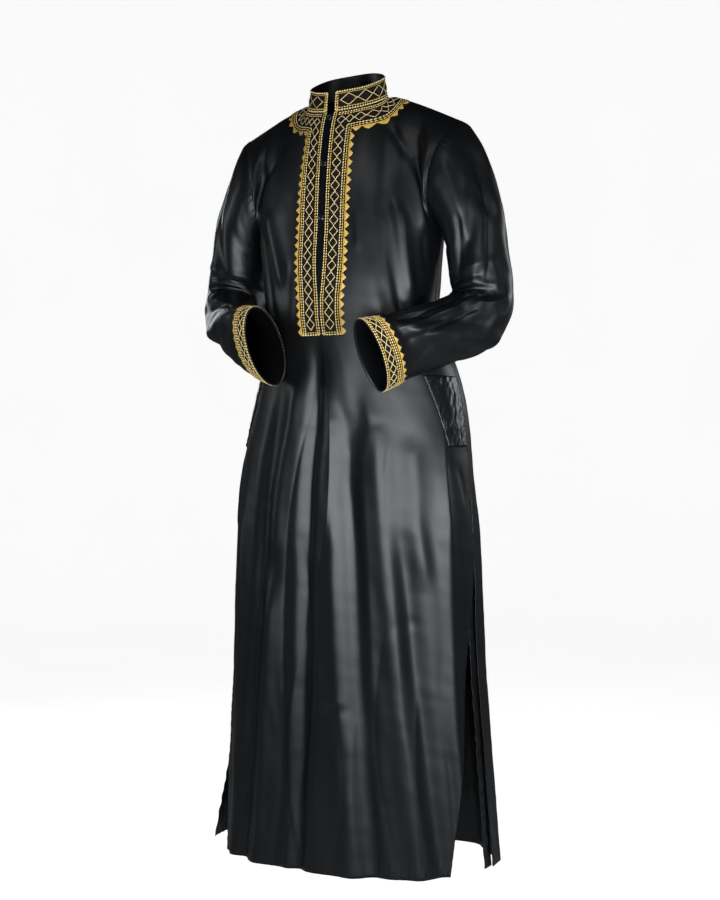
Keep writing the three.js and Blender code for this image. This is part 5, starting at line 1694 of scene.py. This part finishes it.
@dataclass
class SmallPieces:
    """The fly behind the slit, the pockets' and vents' facings, and the buttons."""

    body: Body
    finishes: Finishes
    pocket_grid: tuple[int, int] = (62, 34)
    vent_grid: tuple[int, int] = (170, 20)
    button_sides: int = 40
    loop_radius: float = 6.1
    loop_thread: float = 0.6

    def _facing(self, name: str, slot: str, node: str, surface: Surface, marks: Array,
                walls: tuple[float, float], rests: list[str]) -> None:
        """Makes a facing as a sheet of its own size."""
        builder = MeshBuilder()
        builder.shell(surface, *walls, None, marks)
        piece = dress(builder.build(name, [self.finishes.facing]), slot, node)
        area = cloth_area(surface)

    def fly(self) -> None:
        """The satin strip behind the slit."""
        panel = self.body.front
        first = panel.column_of_knot(self.body.middle - 1) + 1
        last = panel.column_of_knot(self.body.middle + 2) - 1
        rows = np.linspace(0.15, panel.row_of_knot(YOKE_ROWS + CHEST_ROWS - 1), 170)
        columns = np.linspace(first, last, 26)
        grid, _ = panel.surface.at(rows[:, None], columns[None, :], -WALL - 0.7)
        surface = Surface(grid)
        down = surface.lengths(0, 13)
        u = np.linspace(-1, 1, 26)[None, :]
        lift = 0.5 * np.exp(-(u * 3.2) ** 2) * np.sin(down / 13)[:, None]
        surface = surface.lifted(np.minimum(lift, 0.45))
        marks = cloth_marks(np.linspace(0, 50, 26)[None, :], down[:, None])
        self._facing("fly_cloth", "satin", "placket_fly", surface, marks, (0, -WALL), ["front_cloth"])

    def pocket(self, side: Side) -> None:
        """A puckered facing between the pocket's slanted mouth and the side seam."""
        panel = self.body.front
        rows, columns = self.pocket_grid
        grid = np.zeros((rows, columns, 3))
        heights = panel.surface.points[:, 3 if side is Side.LEFT else -4, 2]
        for r in range(rows):
            t = r / (rows - 1)
            row = float(index_at(-heights, -mix(POCKET_TOP, POCKET_BOTTOM, t)))
            angle = np.linspace(mix(*POCKET_ANGLES, t), 2.2, columns)
            angle = angle if side is Side.LEFT else 180 - angle
            grid[r] = panel.surface.at(row, index_at(panel.angles[int(row)], angle), 0.75)[0]
        surface = facing_out(Surface(grid), np.array([0, 20, -550]))
        down = surface.lengths(0, 5)[:, None]
        u = surface.lengths(1, 30)[None, :]
        mouth, bottom = np.exp(-u / 9), np.exp(-(down[-1] - down) / 9)
        pucker = np.abs(np.sin(down / 2.6 + 1.3 * np.sin(down / 9))) * mouth + \
            np.abs(np.sin(u / 2.8 + 1.1 * np.sin(u / 11))) * bottom
        waves = ripples(u, down, 57, ((14, 30, 0.45), (8, 14, 0.25)))
        lift = 1.1 * pucker + np.maximum(waves, -0.4) + 0.5
        rim = np.minimum(np.minimum(u, u[:, -1:] - u), np.minimum(down, down[-1] - down))
        surface = surface.lifted(lift * smooth(rim, 0, 2.5))
        name = f"pocket_{side.word}"
        self._facing(f"{name}_facing", "satin_facing", name, surface, cloth_marks(u, down), (0.25, -0.65),
                     ["front_cloth"])
        stitches = MeshBuilder()
        for k in range(4, 118, 4):
            row = k / 120 * (rows - 1)
            points, normals = surface.at(np.linspace(row, row + 1.2, 5), np.full(5, 1.3), 0.4)
            stitches.tube(points, normals, 0.32, 0.28, 5)
        dress(stitches.build(f"{name}_stitches", [self.finishes.facing]), "satin_facing")

    def vent(self, side: Side) -> None:
        """A puckered facing inside the back panel's edge at a vent."""
        rows, columns = self.vent_grid
        z = np.linspace(VENT_TOP - 26, HEM + 1, rows)
        left = side is Side.LEFT
        angle = np.linspace(*(VENT_ANGLES if left else (180 - a for a in VENT_ANGLES)), columns)
        zz, aa = np.meshgrid(z, angle, indexing="ij")
        flared = np.full(zz.shape, not left)
        turned = np.where(aa < 0, aa + 360, aa)
        s = body_at(zz)
        radius = section_radius(s, np.sin(np.radians(turned)) >= 0)
        points = section_point(zz, turned, flared)
        inward = -points + np.array([0, 30, 0])
        inward[..., 2] = 0
        slack = np.where(flared, 0.06 * s["flare"], 0)
        shift = VENT_DEPTH + 0.6 + slack - main_lift(turned, zz, radius)
        surface = facing_out(Surface(points + unit(inward) * shift[..., None]), np.array([0, 20, -1050]))
        down, u = (-(z - z[0]))[:, None], surface.lengths(1, 60)[None, :]
        pucker = np.sin(down / 4.4 + 1.5 * np.sin(down / 21)) * (0.35 + 0.65 * np.exp(-(u[:, -1:] - u) / 10))
        surface = surface.lifted(0.55 * pucker + ripples(u, down, 71, ((18, 45, 0.4),)) - 0.9)
        name = f"vent_facing_{side.word}"
        self._facing(f"{name}_cloth", "satin_facing", name, surface, cloth_marks(u, down), (0, -0.9),
                     ["back_cloth"])

    def buttons(self) -> None:
        """Domed buttons on the fly, each with its cord loop from the left strip."""
        panel = self.body.front
        middle = sum(panel.column_of_knot(self.body.middle + n) for n in (0, 1)) / 2
        line = panel.surface.lengths(0, round(middle))
        for n, drop in enumerate(BUTTON_DROPS, 1):
            row = float(index_at(line, drop))
            point, normal = panel.surface.at(row, middle, -WALL - 0.2)
            below, _ = panel.surface.at(row + 1, middle, -WALL - 0.2)
            side = unit(np.cross(unit(below - point), normal))
            up = np.cross(normal, side)
            self._dome(n, point, normal, side, up)
            self._loop(n, point, normal, up)

    def _dome(self, n: int, point: Array, normal: Array, side: Array, up: Array) -> None:
        """One button, turned from its profile."""
        count = self.button_sides
        turn = np.linspace(0, 2 * math.pi, count + 1)[:-1]
        ring = BUTTON_PROFILE[:, None, 0, None] * (np.cos(turn)[None, :, None] * side
                                                   + np.sin(turn)[None, :, None] * up) \
            + BUTTON_PROFILE[:, None, 1, None] * normal + point
        j, i = np.meshgrid(np.arange(len(BUTTON_PROFILE) - 1), np.arange(count), indexing="ij")
        after = (i + 1) % count
        faces = np.stack([j * count + i, j * count + after, (j + 1) * count + after, (j + 1) * count + i], -1)
        builder = MeshBuilder()
        builder.add(ring, faces.reshape(-1, 4), ring - point)
        piece = builder.build(f"button_{n}_dome", [self.finishes.button])
        merge_close(piece)
        dress(piece, "button", f"button_{n}")

    def _loop(self, n: int, point: Array, normal: Array, up: Array) -> None:
        """The cord loop round one button, whose ends run back under the left strip."""
        bend, reach = 1.7, 2.3
        t = np.linspace(-reach, reach, 40)
        away = np.where(np.abs(t) > bend, (np.abs(t) - bend) * 5, 0)
        path = point + (np.cos(t)[:, None] * self.loop_radius - away[:, None] * 2.2) * np.array([-1, 0, 0]) \
            + np.sin(np.clip(t, -bend, bend))[:, None] * self.loop_radius * up + normal * 2.0
        builder = MeshBuilder()
        builder.tube(path, np.broadcast_to(normal, path.shape), self.loop_thread, self.loop_thread, 8)
        dress(builder.build(f"button_{n}_loop", [self.finishes.facing]), "button")


def merge_close(piece: bpy.types.Object) -> None:
    """Joins points that lie on each other."""
    mesh = bmesh.new()
    mesh.from_mesh(piece.data)
    bmesh.ops.remove_doubles(mesh, verts=mesh.verts, dist=1e-6)
    mesh.to_mesh(piece.data)
    mesh.free()


# Studio

# Area lights: name, place, target, width, height, power, colour
COOL, WHITE = (0.92, 0.97, 1), (1, 1, 1)
LAMPS = (
    ("key_soft", (0.70, -1.15, -0.62), (0, 0, -0.60), 1.7, 0.22, 23, (0.88, 0.95, 1)),
    ("fill_left", (2.6, -0.9, 0.1), (0, 0, -0.4), 0.35, 1.2, 6, COOL),
    ("fill_right", (-2.6, -0.9, 0.1), (0, 0, -0.4), 0.35, 1.2, 8, COOL),
    ("fill_low", (1.25, -1.0, -1.0), (0.17, -0.1, -0.42), 0.7, 0.15, 3, COOL),
    ("back_left", (1.5, 1.9, 0.1), (0, 0, -0.5), 0.9, 0.7, 9, COOL),
    ("back_right", (-1.7, 1.7, 0.1), (0, 0, -0.5), 0.9, 0.7, 9, COOL),
    ("top_soft", (0.5, -1.7, 1.3), (0, 0, -0.1), 0.7, 0.5, 4, WHITE),
)


@dataclass
class Set:
    """The pale floor and backdrop, the soft lights and the camera, in metres."""

    floor: float = -1.45
    sides: int = 60
    camera_place: tuple[float, float, float] = (1.1162, -2.3483, -0.611)
    camera_turn: float = 25.0
    lens: float = 59.44

    def stage(self) -> None:
        """A round floor whose rim curves up to a backdrop all round."""
        curve = np.linspace(0, math.pi / 2, 10)
        reach = np.concatenate([[0.01, 2.0], 4.2 + np.sin(curve), [5.2]])
        rise = np.concatenate([[0, 0], 1 - np.cos(curve), [4.5]]) + self.floor
        turn = np.linspace(0, 2 * math.pi, self.sides + 1)[:-1]
        points = np.stack(np.broadcast_arrays(reach[:, None] * np.cos(turn), reach[:, None] * np.sin(turn),
                                              rise[:, None]), -1).reshape(-1, 3).tolist()
        n = self.sides
        faces = [(n * k + m, n * k + (m + 1) % n, n * k + n + (m + 1) % n, n * k + n + m)
                 for k in range(len(reach) - 1) for m in range(n)] + [tuple(range(n))]
        mesh = bpy.data.meshes.new("studio_floor")
        mesh.from_pydata(points, [], faces)
        mesh.materials.append(Studio().material())
        floor = bpy.data.objects.new("studio_floor", mesh)
        bpy.context.scene.collection.objects.link(floor)

    def lights(self) -> None:
        """The area lights, each facing its target, and a dim room that the camera sees lit."""
        world = bpy.data.worlds.new("studio_room")
        room = Nodes(world)
        seen = Value(room, room.node("ShaderNodeLightPath").outputs["Is Camera Ray"])
        background = room.node("ShaderNodeBackground", {}, {0: (1, 1, 1, 1), 1: seen * 0.835 + 0.02})
        room.node("ShaderNodeOutputWorld", {}, {"Surface": background.outputs[0]})
        bpy.context.scene.world = world
        for name, place, target, width, height, power, colour in LAMPS:
            light = bpy.data.lights.new(name, "AREA")
            light.shape, light.size, light.size_y = "RECTANGLE", width, height
            light.energy, light.color = power, colour
            lamp = bpy.data.objects.new(name, light)
            lamp.location = place
            lamp.visible_camera = False
            lamp.rotation_euler = (Vector(target) - Vector(place)).to_track_quat("-Z", "Y").to_euler()
            bpy.context.scene.collection.objects.link(lamp)

    def camera(self) -> None:
        """The camera at the photograph's angle, level, on the wearer's left."""
        camera = bpy.data.cameras.new("camera")
        camera.sensor_fit, camera.sensor_height, camera.lens = "VERTICAL", 36.0, self.lens
        camera.clip_end = 60
        holder = bpy.data.objects.new("camera", camera)
        holder.location = self.camera_place
        holder.rotation_euler = (math.radians(90), 0, math.radians(self.camera_turn))
        bpy.context.scene.collection.objects.link(holder)
        bpy.context.scene.camera = holder
        bpy.context.scene.view_settings.view_transform = "Standard"

    def build(self) -> None:
        """Sets everything up."""
        self.camera()
        self.stage()
        self.lights()


def main() -> None:
    """Builds the garment, piece by piece."""
    logging.basicConfig(level=logging.INFO, format="%(name)s: %(message)s")
    Set().build()
    finishes = Finishes()
    body = Body(finishes)
    body.build()
    for side in Side:
        sleeve = Sleeve(side, body.armholes[side.word], finishes)
        sleeve.build()
        cuff_band(sleeve, finishes).build()
    strips = {side: strip_band(body, side, finishes) for side in Side}
    for strip in strips.values():
        strip.build()
    collar_band(finishes).build(finishes.satin)
    neck_band(body, strips, finishes).build()
    small = SmallPieces(body, finishes)
    small.fly()
    small.buttons()
    for side in Side:
        small.pocket(side)
        small.vent(side)


if __name__ == "__main__":
    main()
